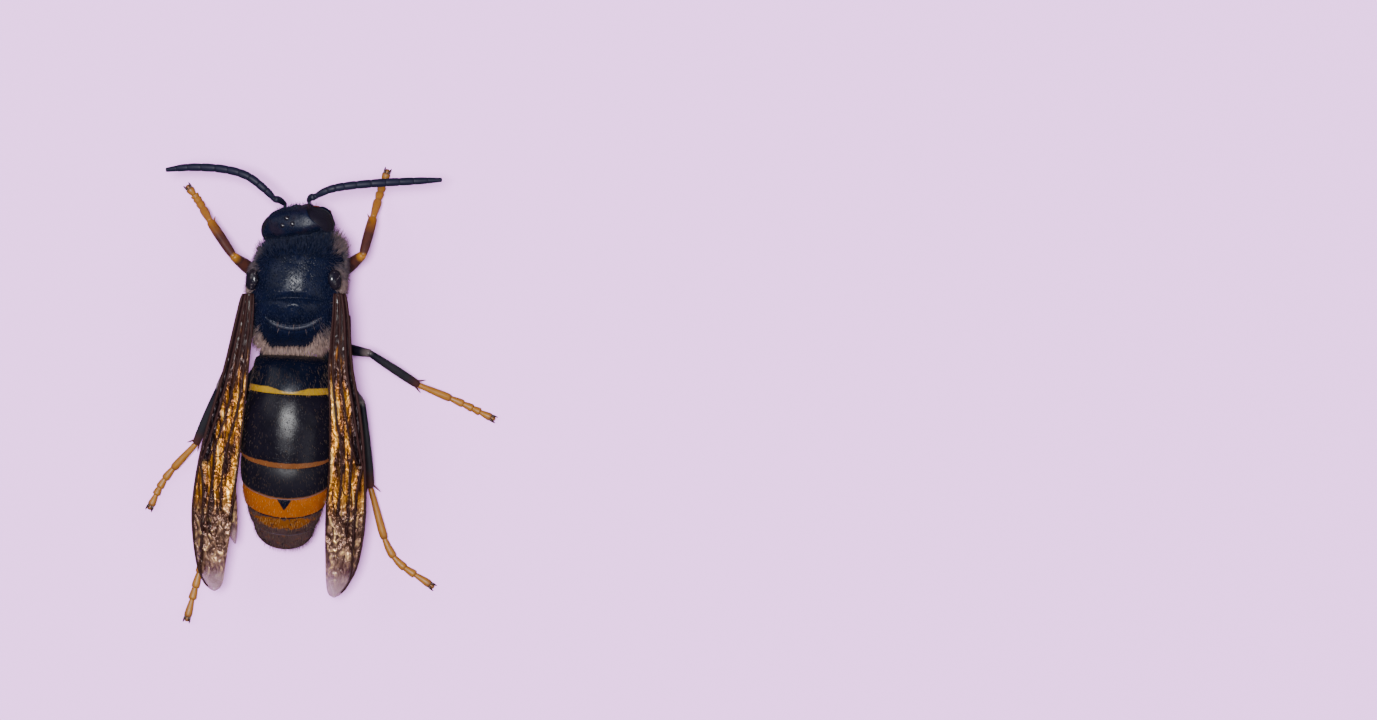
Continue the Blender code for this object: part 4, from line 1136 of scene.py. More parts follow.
def head_finish(shell_settings, gaster_settings):
    """Black crown with purple patches painted as its sheen, reddish brow and orange face."""
    material, tree, shader = new_material("head_shell", Specular_IOR_Level=0.10, Sheen_Weight=0.01,
                                          Sheen_Roughness=0.45)
    shader.inputs["Sheen Tint"].default_value = (*shell_settings.sheen, 1.0)
    place = millimetres(tree)
    cloud = grain(tree, place, 1.5, 4)
    dark = tuple(shell_settings.dark)
    colour = mixed(tree, cloud, shade(dark, 0.6), shade(dark, 1.9))
    # Purple patches painted as the crown's purple sheen
    plum_sheen = step_up(tree, grain(tree, place, 1.1, 4), 0.48, 0.62)
    colour = mixed(tree, times(tree, plum_sheen, 0.7), colour, (0.0085, 0.0050, 0.0105))
    redden = times(tree, value_of(tree, "red"), scaled(tree, cloud, 0.9, 0.1))
    colour = mixed(tree, redden, colour, shell_settings.brow)
    wander = plus(tree, value_of(tree, "band"), scaled(tree, grain(tree, place, 5, 4), 0.2, -0.1))
    orange = tuple(gaster_settings.orange)
    tone = mixed(tree, grain(tree, place, 2.0, 4), shade(orange, 0.45), shade(orange, 0.85))
    colour = mixed(tree, step_up(tree, wander, -0.05, 0.06), colour, tone)
    holes = pits(tree, place, 8.0)
    height = plus(tree, times(tree, holes, 0.7), times(tree, grain(
        tree, place, 28.0, 2), 0.3))
    gloss = scaled(tree, cloud, 0.2, 0.26)
    join_up(tree, shader, Base_Color=colour, Roughness=gloss, Normal=bump(tree, height, 0.025, 0.6))
    return material


def make_head(shell_settings, gaster_settings):
    """Head capsule with clypeus, sockets and brow, and the three ocelli on the crown."""
    place = head_place()
    grid = head_grid(HEAD_ROWS, HEAD_AROUND)
    orange, red = face_marks(grid)
    head = add_grid("head_capsule", placed(grid, place), {"band": orange, "red": red})
    settle(head, ("head",), (head_finish(shell_settings, gaster_settings),))
    grow_head_pile(placed(grid, place), place, shell_settings)
    deselect()
    ocelli = Shape()
    for x, y, drop in ((0, 0.40, 0.06), (-0.34, -0.02, 0.02), (0.34, -0.02, 0.02)):
        bpy.ops.mesh.primitive_uv_sphere_add(segments=32, ring_count=20, radius=0.18)
        bead = bpy.context.object
        bpy.ops.object.mode_set(mode="EDIT")
        bpy.ops.transform.resize(value=(1.0, 1.0, 0.85))
        bpy.ops.transform.translate(value=(x, y, HEAD[1][0] - drop))
        bpy.ops.object.mode_set(mode="OBJECT")
        points, faces = read_out(bead)
        ocelli.add(placed(points, place), faces)
    settle(add_shape("ocelli", ocelli, angle=80), (), (lens_finish(shell_settings),))


def lens_finish(settings):
    """Clear dark lens of a simple eye."""
    material, tree, shader = new_material("ocellus_lens", Roughness=0.06, Coat_Weight=0.6,
                                          Coat_Roughness=0.03)
    place = millimetres(tree)
    colour = mixed(tree, grain(tree, place, 6.0, 2), settings.dark, (0.010, 0.005, 0.006))
    join_up(tree, shader, Base_Color=colour)
    return material


def make_eye(name, side, place, material):
    """A tall eye with a notch on its inner side, cut flat where it sits in the head."""
    deselect()
    bpy.ops.mesh.primitive_uv_sphere_add(segments=128, ring_count=96, radius=1.0)
    ball = bpy.context.object
    seat = Vector(eye_normal(side))
    bpy.ops.object.mode_set(mode="EDIT")
    bpy.ops.transform.resize(value=EYE_RADII)
    bpy.ops.transform.rotate(value=-EYE_FACING * side, orient_axis="Z", center_override=(0, 0, 0))
    bpy.ops.transform.translate(value=(EYE_CENTRE[0] * side, EYE_CENTRE[1], EYE_CENTRE[2]))
    bpy.ops.mesh.bisect(plane_co=seat * (EYE_SEAT - 0.12), plane_no=seat, clear_inner=True, use_fill=True)
    bpy.ops.object.mode_set(mode="OBJECT")
    points, faces = read_out(ball)
    centre = np.array((EYE_CENTRE[0] * side, *EYE_CENTRE[1:]))
    inward = np.array((-side * math.sin(EYE_FACING), math.cos(EYE_FACING), 0.0))
    reach = (points - centre) @ inward
    level = points[:, 2] - EYE_CENTRE[2]
    points -= inward * (0.34 * hump(level + 0.02, 0.36) * ease(reach, 0.15, 1.0))[:, None]
    eye = Shape()
    eye.add(placed(points, place), faces)
    piece = add_shape(f"compound_eye_{name}", eye, angle=60)
    settle(piece, (f"eye_{name}",), (material,))


def eye_finish(settings):
    """Glossy dark eye with fine facets, painted shade in the grooves between them, and a brown depth."""
    material, tree, shader = new_material("compound_eye", Coat_Weight=0.06, Coat_Roughness=0.12,
                                          Specular_IOR_Level=0.24)
    place = millimetres(tree)
    cells = node(tree, "TexVoronoi", {"Vector": place, "Scale": 22.0}, feature="DISTANCE_TO_EDGE")
    facet = step_up(tree, cells.outputs["Distance"], 0.0, 0.14)
    cloud = grain(tree, place, 1.2, 3)
    colour = mixed(tree, cloud, settings.eye, shade(settings.eye, 2.4))
    # The grooves between facets are darkened: painted shade
    colour = mixed(tree, facet, (0.004, 0.003, 0.005), colour)
    gloss = scaled(tree, cloud, 0.12, 0.30)
    join_up(tree, shader, Base_Color=colour, Roughness=gloss, Normal=bump(tree, facet, 0.006, 0.5))
    return material


def make_eyes(settings):
    """Both compound eyes."""
    place = head_place()
    material = eye_finish(settings)
    for name, side in SIDES.items():
        make_eye(name, side, place, material)


JAW_OUTLINE = (
    (1.46, -2.10), (1.50, -2.42), (1.36, -2.76), (1.10, -3.06), (0.76, -3.30), (0.40, -3.42), (0.26, -3.36),
    (0.33, -3.22), (0.13, -3.16), (0.24, -3.00), (0.08, -2.92), (0.19, -2.76), (0.07, -2.64), (0.20, -2.46),
    (0.28, -2.10))


def make_jaws(settings):
    """Two broad toothed jaws under the clypeus."""
    place = head_place()
    material, tree, shader = new_material("jaw_shell", Specular_IOR_Level=0.35, Coat_Weight=0.1,
                                          Coat_Roughness=0.15)
    spot = millimetres(tree)
    cloud = grain(tree, spot, 2.0, 4)
    colour = mixed(tree, cloud, shade(settings.jaw, 0.6), settings.jaw)
    tooth = step_up(tree, value_of(tree, "along"), 0.35, 0.75)
    colour = mixed(tree, tooth, colour, (0.010, 0.006, 0.006))
    ribs = grain(tree, spot, 6.0, 3, stretch=(3.0, 3.0, 0.6))
    join_up(tree, shader, Base_Color=colour, Roughness=scaled(tree, cloud, 0.2, 0.2),
            Normal=bump(tree, ribs, 0.02, 0.5))
    for name, side in SIDES.items():
        mesh = bpy.data.meshes.new("jaw_outline")
        outline = [(x * side, 0.20, z) for x, z in JAW_OUTLINE]
        mesh.from_pydata(outline, [], [tuple(range(len(outline)))])
        thing = add_object("jaw_outline", mesh)
        deselect()
        thing.select_set(True)
        bpy.context.view_layer.objects.active = thing
        bpy.ops.object.mode_set(mode="EDIT")
        bpy.ops.mesh.select_all(action="SELECT")
        bpy.ops.mesh.extrude_region_move(TRANSFORM_OT_translate={"value": (0, 0.44, 0)})
        bpy.ops.mesh.select_all(action="SELECT")
        bpy.ops.mesh.normals_make_consistent(inside=False)
        bpy.ops.mesh.bevel(offset=0.06, segments=2, affect="EDGES")
        bpy.ops.mesh.quads_convert_to_tris()
        bpy.ops.mesh.subdivide(number_cuts=2, smoothness=0.0)
        bpy.ops.object.mode_set(mode="OBJECT")
        points, faces = read_out(thing)
        wide = np.abs(points[:, 0])
        points[:, 1] += 0.22 * (1 - (wide / 1.4) ** 2) - 0.10 * ease(-points[:, 2], 2.9, 3.4)
        dark = ease(0.62 - wide, 0.0, 0.5) * ease(-points[:, 2], 2.3, 3.1)
        jaw = Shape()
        jaw.add(placed(points, place), faces, dark)
        settle(add_shape(f"jaw_{name}", jaw, angle=50), (f"mandible_{name}",), (material,))


# Feelers


def feeler_finish(settings):
    """Matt blue-black with velvet grain."""
    material, tree, shader = new_material("feeler_shell", Specular_IOR_Level=0.14, Sheen_Weight=0.01,
                                          Sheen_Roughness=0.5)
    shader.inputs["Sheen Tint"].default_value = (*settings.sheen, 1.0)
    place = millimetres(tree)
    cloud = grain(tree, place, 3.0, 4)
    colour = mixed(tree, cloud, settings.feeler, shade(settings.feeler, 2.0))
    seam = step_up(tree, value_of(tree, "along"), 0.90, 1.0)
    colour = mixed(tree, seam, colour, (0.004, 0.004, 0.007))
    fine = grain(tree, place, 34.0, 2)
    join_up(tree, shader, Base_Color=colour, Roughness=scaled(tree, cloud, 0.25, 0.35),
            Normal=bump(tree, fine, 0.014, 0.6))
    return material


def slice_path(path, start, end, count):
    """Points on a stretch of a path, by share of its point count."""
    top = len(path) - 1
    points = []
    for share in np.linspace(start, end, count):
        place = min(max(share, 0.0), 1.0) * top
        index = min(int(place), top - 1)
        points.append(path[index].lerp(path[index + 1], place - index))
    return points


# Outlines turned into a ring of the feeler, a toe and a thorn: share of the length, share of the radius
RING_OUTLINE = ((0.0, 0.0), (0.0, 0.80), (0.03, 0.90), (0.12, 0.96), (0.30, 1.0), (0.60, 1.02), (0.88, 1.0),
                (0.97, 0.94), (1.0, 0.84), (1.0, 0.0))
TOE_OUTLINE = ((0.0, 0.0), (0.0, 0.7), (0.04, 0.88), (0.2, 0.96), (0.5, 1.0), (0.8, 1.04), (0.93, 1.02),
               (0.985, 0.86), (1.0, 0.6), (1.0, 0.0))
THORN_OUTLINE = ((0.0, 0.0), (0.0, 1.0), (0.2, 1.0), (0.4, 0.98), (0.6, 0.9), (0.8, 0.8), (0.93, 0.6),
                 (1.0, 0.0))


def make_feelers(settings):
    """Scape, pedicel and ten rings of flagellum on each side."""
    place = head_place()
    limb = turned(limb_outline(14, 0.05), 24)
    ring = turned(list(RING_OUTLINE), 24)
    material = feeler_finish(settings)
    for name in SIDES:
        socket = place @ Vector(SOCKET[name])
        elbow = Vector(ELBOW[name])
        out = (place.to_3x3() @ Y_AXIS).normalized()
        feeler = Shape()
        foot = socket - out * 0.05
        root = [foot, foot + out * 0.20, foot + out * 0.40]
        feeler.add(carry(limb, root, (0.15, 0.12, 0.16)), limb[1], 0.0)
        start = socket + out * 0.30
        path = through((start, start.lerp(elbow, 0.5) + out * 0.10, elbow), 9)
        feeler.add(carry(limb, path, (0.15, 0.19, 0.215, 0.23, 0.235, 0.20)), limb[1], 0.0)
        run = through((elbow, *FLAGELLUM[name]), 61)
        pedicel = slice_path(run, 0.0, 0.045, 4)
        feeler.add(carry(ring, pedicel, (0.15, 0.20, 0.19)), ring[1], 0.0)
        shares = np.concatenate(([0.043, 0.20], np.linspace(0.20, 1.0, 10)[1:]))
        for index, (low, high) in enumerate(zip(shares, shares[1:])):
            middle = (low + high) / 2
            rows = [(-step, radius) for step, radius in enumerate(FLAGELLUM_RADII)]
            radii = [blend(rows, -share * (len(FLAGELLUM_RADII) - 1))[0] for share in (low, middle, high)]
            body = limb if index == 9 else ring
            stretch = slice_path(run, low - 0.004, high, 5)
            feeler.add(carry(body, stretch, radii), body[1], np.clip(body[0][:, 2], 0, 1) * (index < 9))
        piece = add_shape(f"feeler_{name}", feeler, angle=60)
        settle(piece, (f"scape_{name}", f"flagellum_{name}"), (material,))


# Wings


def wing_frame(rows, v):
    """Outer edge, inner edge and height of a wing at a share of its length."""
    y = rows[0][0] + (rows[-1][0] - rows[0][0]) * v
    return (y, *blend(rows, y))


def vein_lines(veins):
    """Each vein as rows for blending: share along, place across."""
    lines = []
    for *_, points in veins:
        if abs(points[-1][1] - points[0][1]) > 0.15:
            rows = [(-v, u) for u, v in points]
            if all(here[0] > there[0] for here, there in zip(rows, rows[1:])):
                lines.append(rows)
    return lines


def wing_height(rows, side, u, v, lines, crumple):
    """Place of the membrane's upper face at a point across and along, before its wrinkles."""
    y, outer, inner, height = wing_frame(rows, v)
    x = outer + (inner - outer) * u
    width = abs(outer - inner)
    tilt = (x - (outer + inner) / 2) * -side * WING_ROLL
    arch = 0.14 * math.sin(math.pi * min(max(u, 0.0), 1.0)) - 0.10 * abs(2 * u - 1) ** 4
    nearest = min((abs(u - blend(line, -v)[0]) * width for line in lines if line[0][0] >= -v >= line[-1][0]),
                  default=1.0)
    sag = 0.09 * (1 - math.exp(-(nearest / 0.22) ** 2)) * min(1.0, width / 1.2)
    level = height + tilt + arch + 0.16 - sag
    if crumple:
        fold = 1 - abs(noise.noise(Vector((x * 1.4, y * 0.9, 3.1 * side)))) * 2.4
        fine = 1 - abs(noise.noise(Vector((x * 3.6 + 9, y * 2.3, 5.1 * side)))) * 2.4
        lengthwise = float(ease(v, 0.60, 0.72) * (1 - 0.6 * ease(v, 0.88, 0.97)))
        strength = lengthwise * float(window(u, 0.2, 0.98, 0.12))
        gentle = 0.25 + 0.75 * strength
        level += crumple * gentle * (0.65 * fold + 0.35 * fine)
    return Vector((x, y, level)), nearest


def make_wing(name, rows, side, veins, counts, crumple, materials, node_name):
    """A folded wing: thin closed membrane, sagging between its raised veins."""
    along, across = counts
    lines = vein_lines(veins)
    top, marks = [], []
    for v in np.linspace(0, 1, along):
        for u in np.linspace(0, 1, across):
            point, nearest = wing_height(rows, side, u, v, lines, crumple)
            top.append(point)
            marks.append((u, v, nearest))
    top = np.array(top)
    marks = np.array(marks)
    rim = 1 - ease(np.minimum(marks[:, 0], 1 - marks[:, 0]), 0.0, 0.06)
    bottom = top - np.array((0, 0, 1.0)) * (MEMBRANE * (1 - 0.6 * rim))[:, None]
    index = np.arange(along * across).reshape(along, across)
    near = np.stack((index[:-1, :-1], index[:-1, 1:], index[1:, 1:], index[1:, :-1]), axis=-1).reshape(-1, 4)
    far = near[:, ::-1] + along * across
    loop = np.concatenate((index[0], index[1:-1, -1], index[-1][::-1], index[-2:0:-1, 0]))
    turn = np.roll(loop, -1)
    rims = np.stack((turn, loop, loop + along * across, turn + along * across), axis=-1)
    mesh = bpy.data.meshes.new(name)
    points = np.concatenate((top, bottom))
    quads = np.concatenate((near, far, rims))
    marks = np.concatenate((marks, marks))
    tubes = Shape()
    limb = turned(limb_outline(26, 0.02), 10)
    for first, last, line in veins:
        spots = through([(u, v, 0) for u, v in line], 28)
        path = [wing_height(rows, side, spot.x, spot.y, lines, crumple)[0] for spot in spots]
        tubes.add(carry(limb, path, (first, (first + last) / 2, last)), limb[1])
    vein_points, vein_faces, _ = tubes.done()
    shift = len(points)
    vein_quads = np.array([face for face in vein_faces if len(face) == 4]) + shift
    vein_tris = np.array([face for face in vein_faces if len(face) == 3]) + shift
    fill_mesh(mesh, np.concatenate((points, vein_points)), (quads, vein_quads, vein_tris))
    blank = np.zeros(len(vein_points))
    for key, column in (("across", 0), ("lengthwise", 1), ("vein_away", 2)):
        write_value(mesh, key, np.concatenate((marks[:, column], blank)))
    mesh.polygons.foreach_set("material_index", np.concatenate((
        np.zeros(len(quads), dtype=int), np.ones(len(vein_quads) + len(vein_tris), dtype=int))))
    face_outwards(mesh)
    mesh.shade_smooth()
    settle(add_object(name, mesh), (node_name,), materials)


def membrane_finish(settings):
    """Smoky amber membrane: dark leading band, gold between the veins with painted golden highlights, brown
    crumple with painted light and shade on its folds, and a pale tip.
    """
    material, tree, shader = new_material("wing_membrane", Specular_IOR_Level=0.12, Coat_Weight=0.02,
                                          Coat_Roughness=0.12)
    place = millimetres(tree)
    across, lengthwise = value_of(tree, "across"), value_of(tree, "lengthwise")
    folds = grain(tree, place, 1.7, 1.5, stretch=(1.4, 0.8, 1.0), distortion=1.4)
    fine = grain(tree, place, 30.0, 2)
    streak = grain(tree, place, 1.0, 5, stretch=(4.2, 0.55, 1.0), distortion=0.5)
    glow = times(tree, step_up(tree, lengthwise, 0.02, 0.42), step_up(tree, lengthwise, 0.92, 0.62))
    inner = step_up(tree, across, 0.50, 0.85)
    lift = plus(tree, scaled(tree, glow, 0.30, -0.22), times(tree, inner, 0.03))
    # Amber to gold along the streaks: the gold is partly the membrane's colour and partly a painted
    # reflection, and the palest gold is a painted highlight
    leaf_with_highlights = ramp(tree, plus(tree, streak, lift), (
        (0.34, settings.root), (0.46, settings.umber), (0.55, settings.amber), (0.66, settings.gold),
        (0.80, settings.gold_highlight)))
    # Brown crumpled membrane coloured by the same fold noise that bumps it: painted shade in the fold hollows
    # and painted light on their tops
    lit_and_shaded_folds = ramp(tree, scaled(tree, folds, 0.7, times(tree, streak, 0.3)), (
        (0.36, settings.umber), (0.48, settings.brown), (0.58, settings.fold_light), (0.70, settings.gold_highlight)))
    outer = step_up(tree, plus(tree, lengthwise, scaled(tree, streak, 0.10, -0.05)), 0.66, 0.78)
    colour = mixed(tree, outer, leaf_with_highlights, lit_and_shaded_folds)
    ending = step_up(tree, plus(tree, lengthwise, scaled(tree, folds, 0.05, -0.025)), 0.91, 0.965)
    colour = mixed(tree, times(tree, ending, 0.85), colour, settings.tip)
    cell = times(tree, times(tree, step_up(tree, across, 0.62, 0.66), step_up(
        tree, across, 0.83, 0.79)), times(tree, step_up(tree, lengthwise, 0.495, 0.515), step_up(
            tree, lengthwise, 0.615, 0.595)))
    colour = mixed(tree, times(tree, cell, 0.85), colour, settings.root)
    leading = times(tree, step_up(tree, across, 0.33, 0.25), step_up(tree, lengthwise, 0.61, 0.55))
    colour = mixed(tree, leading, colour, settings.edge)
    closeness = step_up(tree, value_of(tree, "vein_away"), 0.19, 0.05)
    colour = mixed(tree, times(tree, closeness, 0.9), colour, settings.vein)
    golden = times(tree, step_up(tree, lengthwise, 0.12, 0.35), step_up(tree, lengthwise, 0.97, 0.80))
    metal = times(tree, golden, 0.55)
    gloss = scaled(tree, streak, 0.22, 0.14)
    clear = scaled(tree, step_up(tree, lengthwise, 0.80, 1.0), -0.35, 0.96)
    relief = times(tree, plus(tree, folds, times(tree, fine, 0.05)), scaled(tree, golden, 0.9, 0.1))
    join_up(tree, shader, Base_Color=colour, Metallic=metal, Roughness=gloss, Alpha=clear,
            Normal=bump(tree, relief, 0.20, 0.9))
    return material


def vein_finish(settings):
    """Dark brown horny vein."""
    material, tree, shader = new_material("wing_vein", Specular_IOR_Level=0.05)
    place = millimetres(tree)
    cloud = grain(tree, place, 2.4, 4)
    colour = mixed(tree, cloud, settings.vein, shade(settings.vein, 2.2))
    join_up(tree, shader, Base_Color=colour, Roughness=scaled(tree, cloud, 0.2, 0.34),
            Normal=bump(tree, grain(tree, place, 20.0, 2), 0.012, 0.5))
    return material


def make_wings(settings):
    """Both pairs of wings, the hind ones under the front ones."""
    materials = (membrane_finish(settings), vein_finish(settings))
    for name, side in SIDES.items():
        make_wing(f"fore_wing_{name}", FOREWING[name], side, FOREWING_VEINS, (330, 46), 0.115, materials,
                  f"forewing_{name}")
        make_wing(f"hind_wing_{name}", HINDWING[name], side, HINDWING_VEINS, (160, 26), 0.03, materials,
                  f"hindwing_{name}")


def make_wing_scales(settings):
    """The domed scale in front of each wing's root, with painted glints."""
    material, tree, shader = new_material("wing_scale", Specular_IOR_Level=0.2, Coat_Weight=0.05,
                                          Coat_Roughness=0.1)
    place = millimetres(tree)
    cloud = grain(tree, place, 2.0, 3)
    colour = mixed(tree, cloud, settings.dark, (0.010, 0.0055, 0.0065))
    # Whitish spots painted as glints: painted highlights
    painted_glint = step_up(tree, grain(tree, place, 5.0, 3), 0.60, 0.68)
    colour = mixed(tree, times(tree, painted_glint, 0.6), colour, (0.085, 0.070, 0.072))
    join_up(tree, shader, Base_Color=colour, Roughness=scaled(tree, cloud, 0.2, 0.15),
            Normal=bump(tree, pits(tree, place, 9.0), 0.012, 0.5))
    for name, side in SIDES.items():
        deselect()
        bpy.ops.mesh.primitive_uv_sphere_add(segments=48, ring_count=32, radius=1.0)
        dome = bpy.context.object
        bpy.ops.object.mode_set(mode="EDIT")
        bpy.ops.transform.resize(value=(0.46, 0.68, 0.30))
        bpy.ops.mesh.bisect(plane_co=(0, 0, -0.16), plane_no=(0, 0, 1), clear_inner=True, use_fill=True)
        bpy.ops.object.mode_set(mode="OBJECT")
        points, faces = read_out(dome)
        points[:, 2] += 0.05 * hump(points[:, 0] * side - 0.30, 0.08)
        points[:, 0] += 0.10 * side * hump(points[:, 1] + 0.5, 0.3)
        centre = Vector((TEGULA_MIDDLE + side * TEGULA_OFFSET, TEGULA_STATION, TEGULA_HEIGHT))
        place_scale = Matrix.Translation(centre) @ Matrix.Rotation(side * TEGULA_LEAN, 4, "Y")
        scale = Shape()
        scale.add(placed(points, place_scale), faces)
        piece = add_shape(f"wing_scale_{name}", scale, angle=50)
        settle(piece, (f"tegula_{name}",), (material,))


# Legs


def hip_point(pair, side):
    """A point on the thorax's underside and the way it faces."""
    station, angle = HIP[pair]
    half_width, low, high, middle, sweep, lead = blend(THORAX, station)
    slope = math.radians(angle)
    reach = (high - low) / 2
    across = side * half_width * math.cos(slope)
    point = Vector((middle + across, station, (low + high) / 2 + reach * math.sin(slope)))
    point.y += lead * across - sweep * (across / half_width) ** 2
    facing = Vector((side * math.cos(slope) / half_width, 0, math.sin(slope) / reach)).normalized()
    return point, facing


def foot_path(ankle, bend, toe, radius):
    """Points of a foot from the ankle down to the floor."""
    ground = radius * 0.92
    plan = through((ankle, Vector((*bend, 0)), Vector((*toe, 0))), FOOT_POINTS)
    for point, share in zip(plan, np.linspace(0, 1, FOOT_POINTS)):
        height = max(0.0, 1 - share / (TOE_SHARES[0] + FOOT_DESCENT))
        point.z = ground + (ankle.z - ground) * height ** FOOT_CURVE
    return plan


def even_out(path):
    """The same path with its points at even distances."""
    lengths = np.concatenate(([0.0], np.cumsum([(far - near).length for near, far in zip(path, path[1:])])))
    wanted = np.linspace(0, lengths[-1], len(path))
    columns = [np.interp(wanted, lengths, [point[axis] for point in path]) for axis in range(3)]
    return [Vector(point) for point in zip(*columns)]


def leg_finish(name, stops, settings):
    """Leg shell whose colour changes along it."""
    material, tree, shader = new_material(name, Specular_IOR_Level=0.18)
    place = millimetres(tree)
    cloud = grain(tree, place, 2.4, 4)
    along = scaled(tree, value_of(tree, "along"), 0.25, 0.0)
    wander = plus(tree, along, scaled(tree, cloud, 0.03, -0.015))
    colour = ramp(tree, wander, stops)
    colour = mixed(tree, times(tree, step_up(tree, cloud, 0.45, 0.75), 0.5), colour, settings.black)
    height = plus(tree, pits(tree, place, 9.0), times(tree, grain(tree, place, 26.0, 2), 0.4))
    join_up(tree, shader, Base_Color=colour, Roughness=scaled(tree, cloud, 0.2, 0.25),
            Normal=bump(tree, height, 0.015, 0.5))
    return material


def thorn_path(root, heading, length, droop):
    """A short curved path."""
    points = []
    for share in np.linspace(0, 1, 6):
        points.append(root + heading * (length * share) - Z_AXIS * (droop * share ** 2))
    return points


def make_leg(name, templates, materials):
    """Coxa, trochanter, femur and tibia with its spurs as one piece, and toes with claws as another."""
    limb, toe_body, thorn = templates
    pair, side_name = name.split("_")
    side = SIDES[side_name]
    coxa_tip, knee, ankle, bend, toe = LEGS[name]
    coxa_tip, knee, ankle = Vector(coxa_tip), Vector(knee), Vector(ankle)
    hip, facing = hip_point(pair, side)
    leg = Shape()
    start = hip - facing * 0.25
    path = through((start, hip + facing * 0.45, coxa_tip), 9)
    leg.add(carry(limb, path, COXA_RADII), limb[1], limb[0][:, 2])
    along = (knee - coxa_tip).normalized()
    arriving = (path[-1] - path[-3]).normalized()
    trochanter = through((coxa_tip - arriving * 0.22, coxa_tip + along * 0.10, coxa_tip + along * 0.50), 6)
    leg.add(carry(limb, trochanter, (0.28, 0.33, 0.30)), limb[1], 1.0)
    sag = Vector((0, 0, 0.12 if pair == "front" else 0.06))
    path = through((coxa_tip + along * 0.25, coxa_tip.lerp(knee, 0.5) + sag, knee + along * 0.10), 13)
    leg.add(carry(limb, path, FEMUR_RADII[pair]), limb[1], 1 + limb[0][:, 2])
    down = (ankle - knee).normalized()
    path = through((knee - down * 0.16, knee.lerp(ankle, 0.35) + Z_AXIS * 0.05, ankle + down * 0.06), 13)
    leg.add(carry(limb, path, TIBIA_RADII[pair]), limb[1], 2 + limb[0][:, 2])
    radius = TARSUS_RADIUS[pair]
    plan = even_out(foot_path(ankle, bend, toe, radius))
    flow = (plan[2] - plan[0]).normalized()
    outward = flow.cross(Z_AXIS).normalized()
    for turn in ((-1, 1) if pair != "front" else (-side,)):
        root = ankle - down * 0.15 + outward * (turn * 0.20) - Z_AXIS * 0.05
        heading = (flow + outward * (turn * 0.55) - Z_AXIS * 0.25).normalized()
        spur = thorn_path(root, heading, SPUR_LENGTH[pair], 0.05)
        leg.add(carry(thorn, spur, (0.065, 0.05, 0.02)), thorn[1], 3.0)
    nodes = [f"{part}_{name}" for part in ("coxa", "femur", "tibia")]
    settle(add_shape(f"leg_{name}", leg, angle=70), nodes,
           (materials["front" if pair == "front" else "rear"],))

    foot = Shape()
    reached = 0.0
    for index, share in enumerate(TOE_SHARES):
        low, high = max(reached - 0.012, 0.0), min(reached + share + 0.006, 1.0)
        stretch = slice_path(plan, low, high, 7)
        waist = 0.74 if index else 0.86
        sizes = [radius * size for size in (waist, 0.80, 0.92, 1.0, 0.98)]
        if index == 4:
            sizes = [radius * size for size in (0.62, 0.72, 0.86, 0.98, 0.90)]
        along_foot = index + np.clip(toe_body[0][:, 2], 0, 1)
        foot.add(carry(toe_body, stretch, sizes, flat=0.92), toe_body[1], along_foot)
        reached += share
    heading = (plan[-1] - plan[-4]).normalized()
    heading.z = 0
    heading.normalize()
    across = heading.cross(Z_AXIS)
    for turn in SIDES.values():
        root = plan[-1] - heading * 0.10 + across * (turn * 0.10) + Z_AXIS * 0.02
        points = []
        for share in np.linspace(0, 1, 8):
            reach = CLAW_LENGTH * share
            spread = turn * (0.36 * share - 0.16 * share ** 2) * CLAW_LENGTH
            rise = 0.10 * math.sin(math.pi * share * 0.9) - 0.20 * share ** 2
            points.append(root + heading * (reach * (1 - 0.12 * share)) + across * spread + Z_AXIS * rise)
        foot.add(carry(thorn, points, (0.10, 0.085, 0.06, 0.03)), thorn[1], 5.5)
    pad_steps = ((-0.05, 0.0), (0.12, 0.03), (0.26, 0.08))
    pad = [plan[-1] + heading * ahead - Z_AXIS * drop for ahead, drop in pad_steps]
    foot.add(carry(limb, pad, (0.10, 0.13, 0.11)), limb[1], 5.0)
    piece = add_shape(f"foot_{name}", foot, angle=70)
    for vertex in piece.data.vertices:
        vertex.co.z = max(vertex.co.z, 0.0)
    settle(piece, (f"tarsus_{name}",), (materials["foot"],))


def make_legs(settings):
    """Six legs and feet."""
    templates = (
        turned(limb_outline(18, 0.05), 28),
        turned(list(TOE_OUTLINE), 24),
        turned(list(THORN_OUTLINE), 12),
    )
    materials = {
        "front": leg_finish("front_leg_shell", (
            (0.0, settings.black), (0.27, settings.black), (0.36, settings.russet), (0.455, settings.russet),
            (0.480, settings.yellow), (0.505, settings.yellow), (0.53, settings.russet),
            (0.66, settings.russet), (0.72, settings.amber), (0.76, settings.yellow)), settings),
        "rear": leg_finish("rear_leg_shell", (
            (0.0, settings.black), (0.44, settings.black), (0.485, settings.grey), (0.52, settings.black),
            (0.62, settings.slate), (0.70, settings.slate), (0.745, settings.russet),
            (0.78, settings.amber)), settings),
        "foot": foot_finish(settings),
    }
    for name in LEGS:
        make_leg(name, templates, materials)


def foot_finish(settings):
    """Golden yellow toes, darker at each joint and towards the claws."""
    material, tree, shader = new_material("foot_shell", Specular_IOR_Level=0.25)
    place = millimetres(tree)
    cloud = grain(tree, place, 2.4, 4)
    along = value_of(tree, "along")
    colour = mixed(tree, cloud, settings.amber, settings.yellow)
    joint = maths(tree, "FRACT", along)
    rim = times(tree, step_up(tree, joint, 0.90, 0.99), 0.5)
    colour = mixed(tree, rim, colour, settings.russet)
    end = step_up(tree, along, 4.55, 5.2)
    colour = mixed(tree, times(tree, end, 0.7), colour, settings.russet)
    claw = step_up(tree, along, 5.2, 5.45)
    colour = mixed(tree, claw, colour, settings.claw)
    height = plus(tree, pits(tree, place, 10.0), times(tree, grain(tree, place, 30.0, 2), 0.4))
    join_up(tree, shader, Base_Color=colour, Roughness=scaled(tree, cloud, 0.2, 0.32),
            Normal=bump(tree, height, 0.015, 0.5))
    return material


# Studio


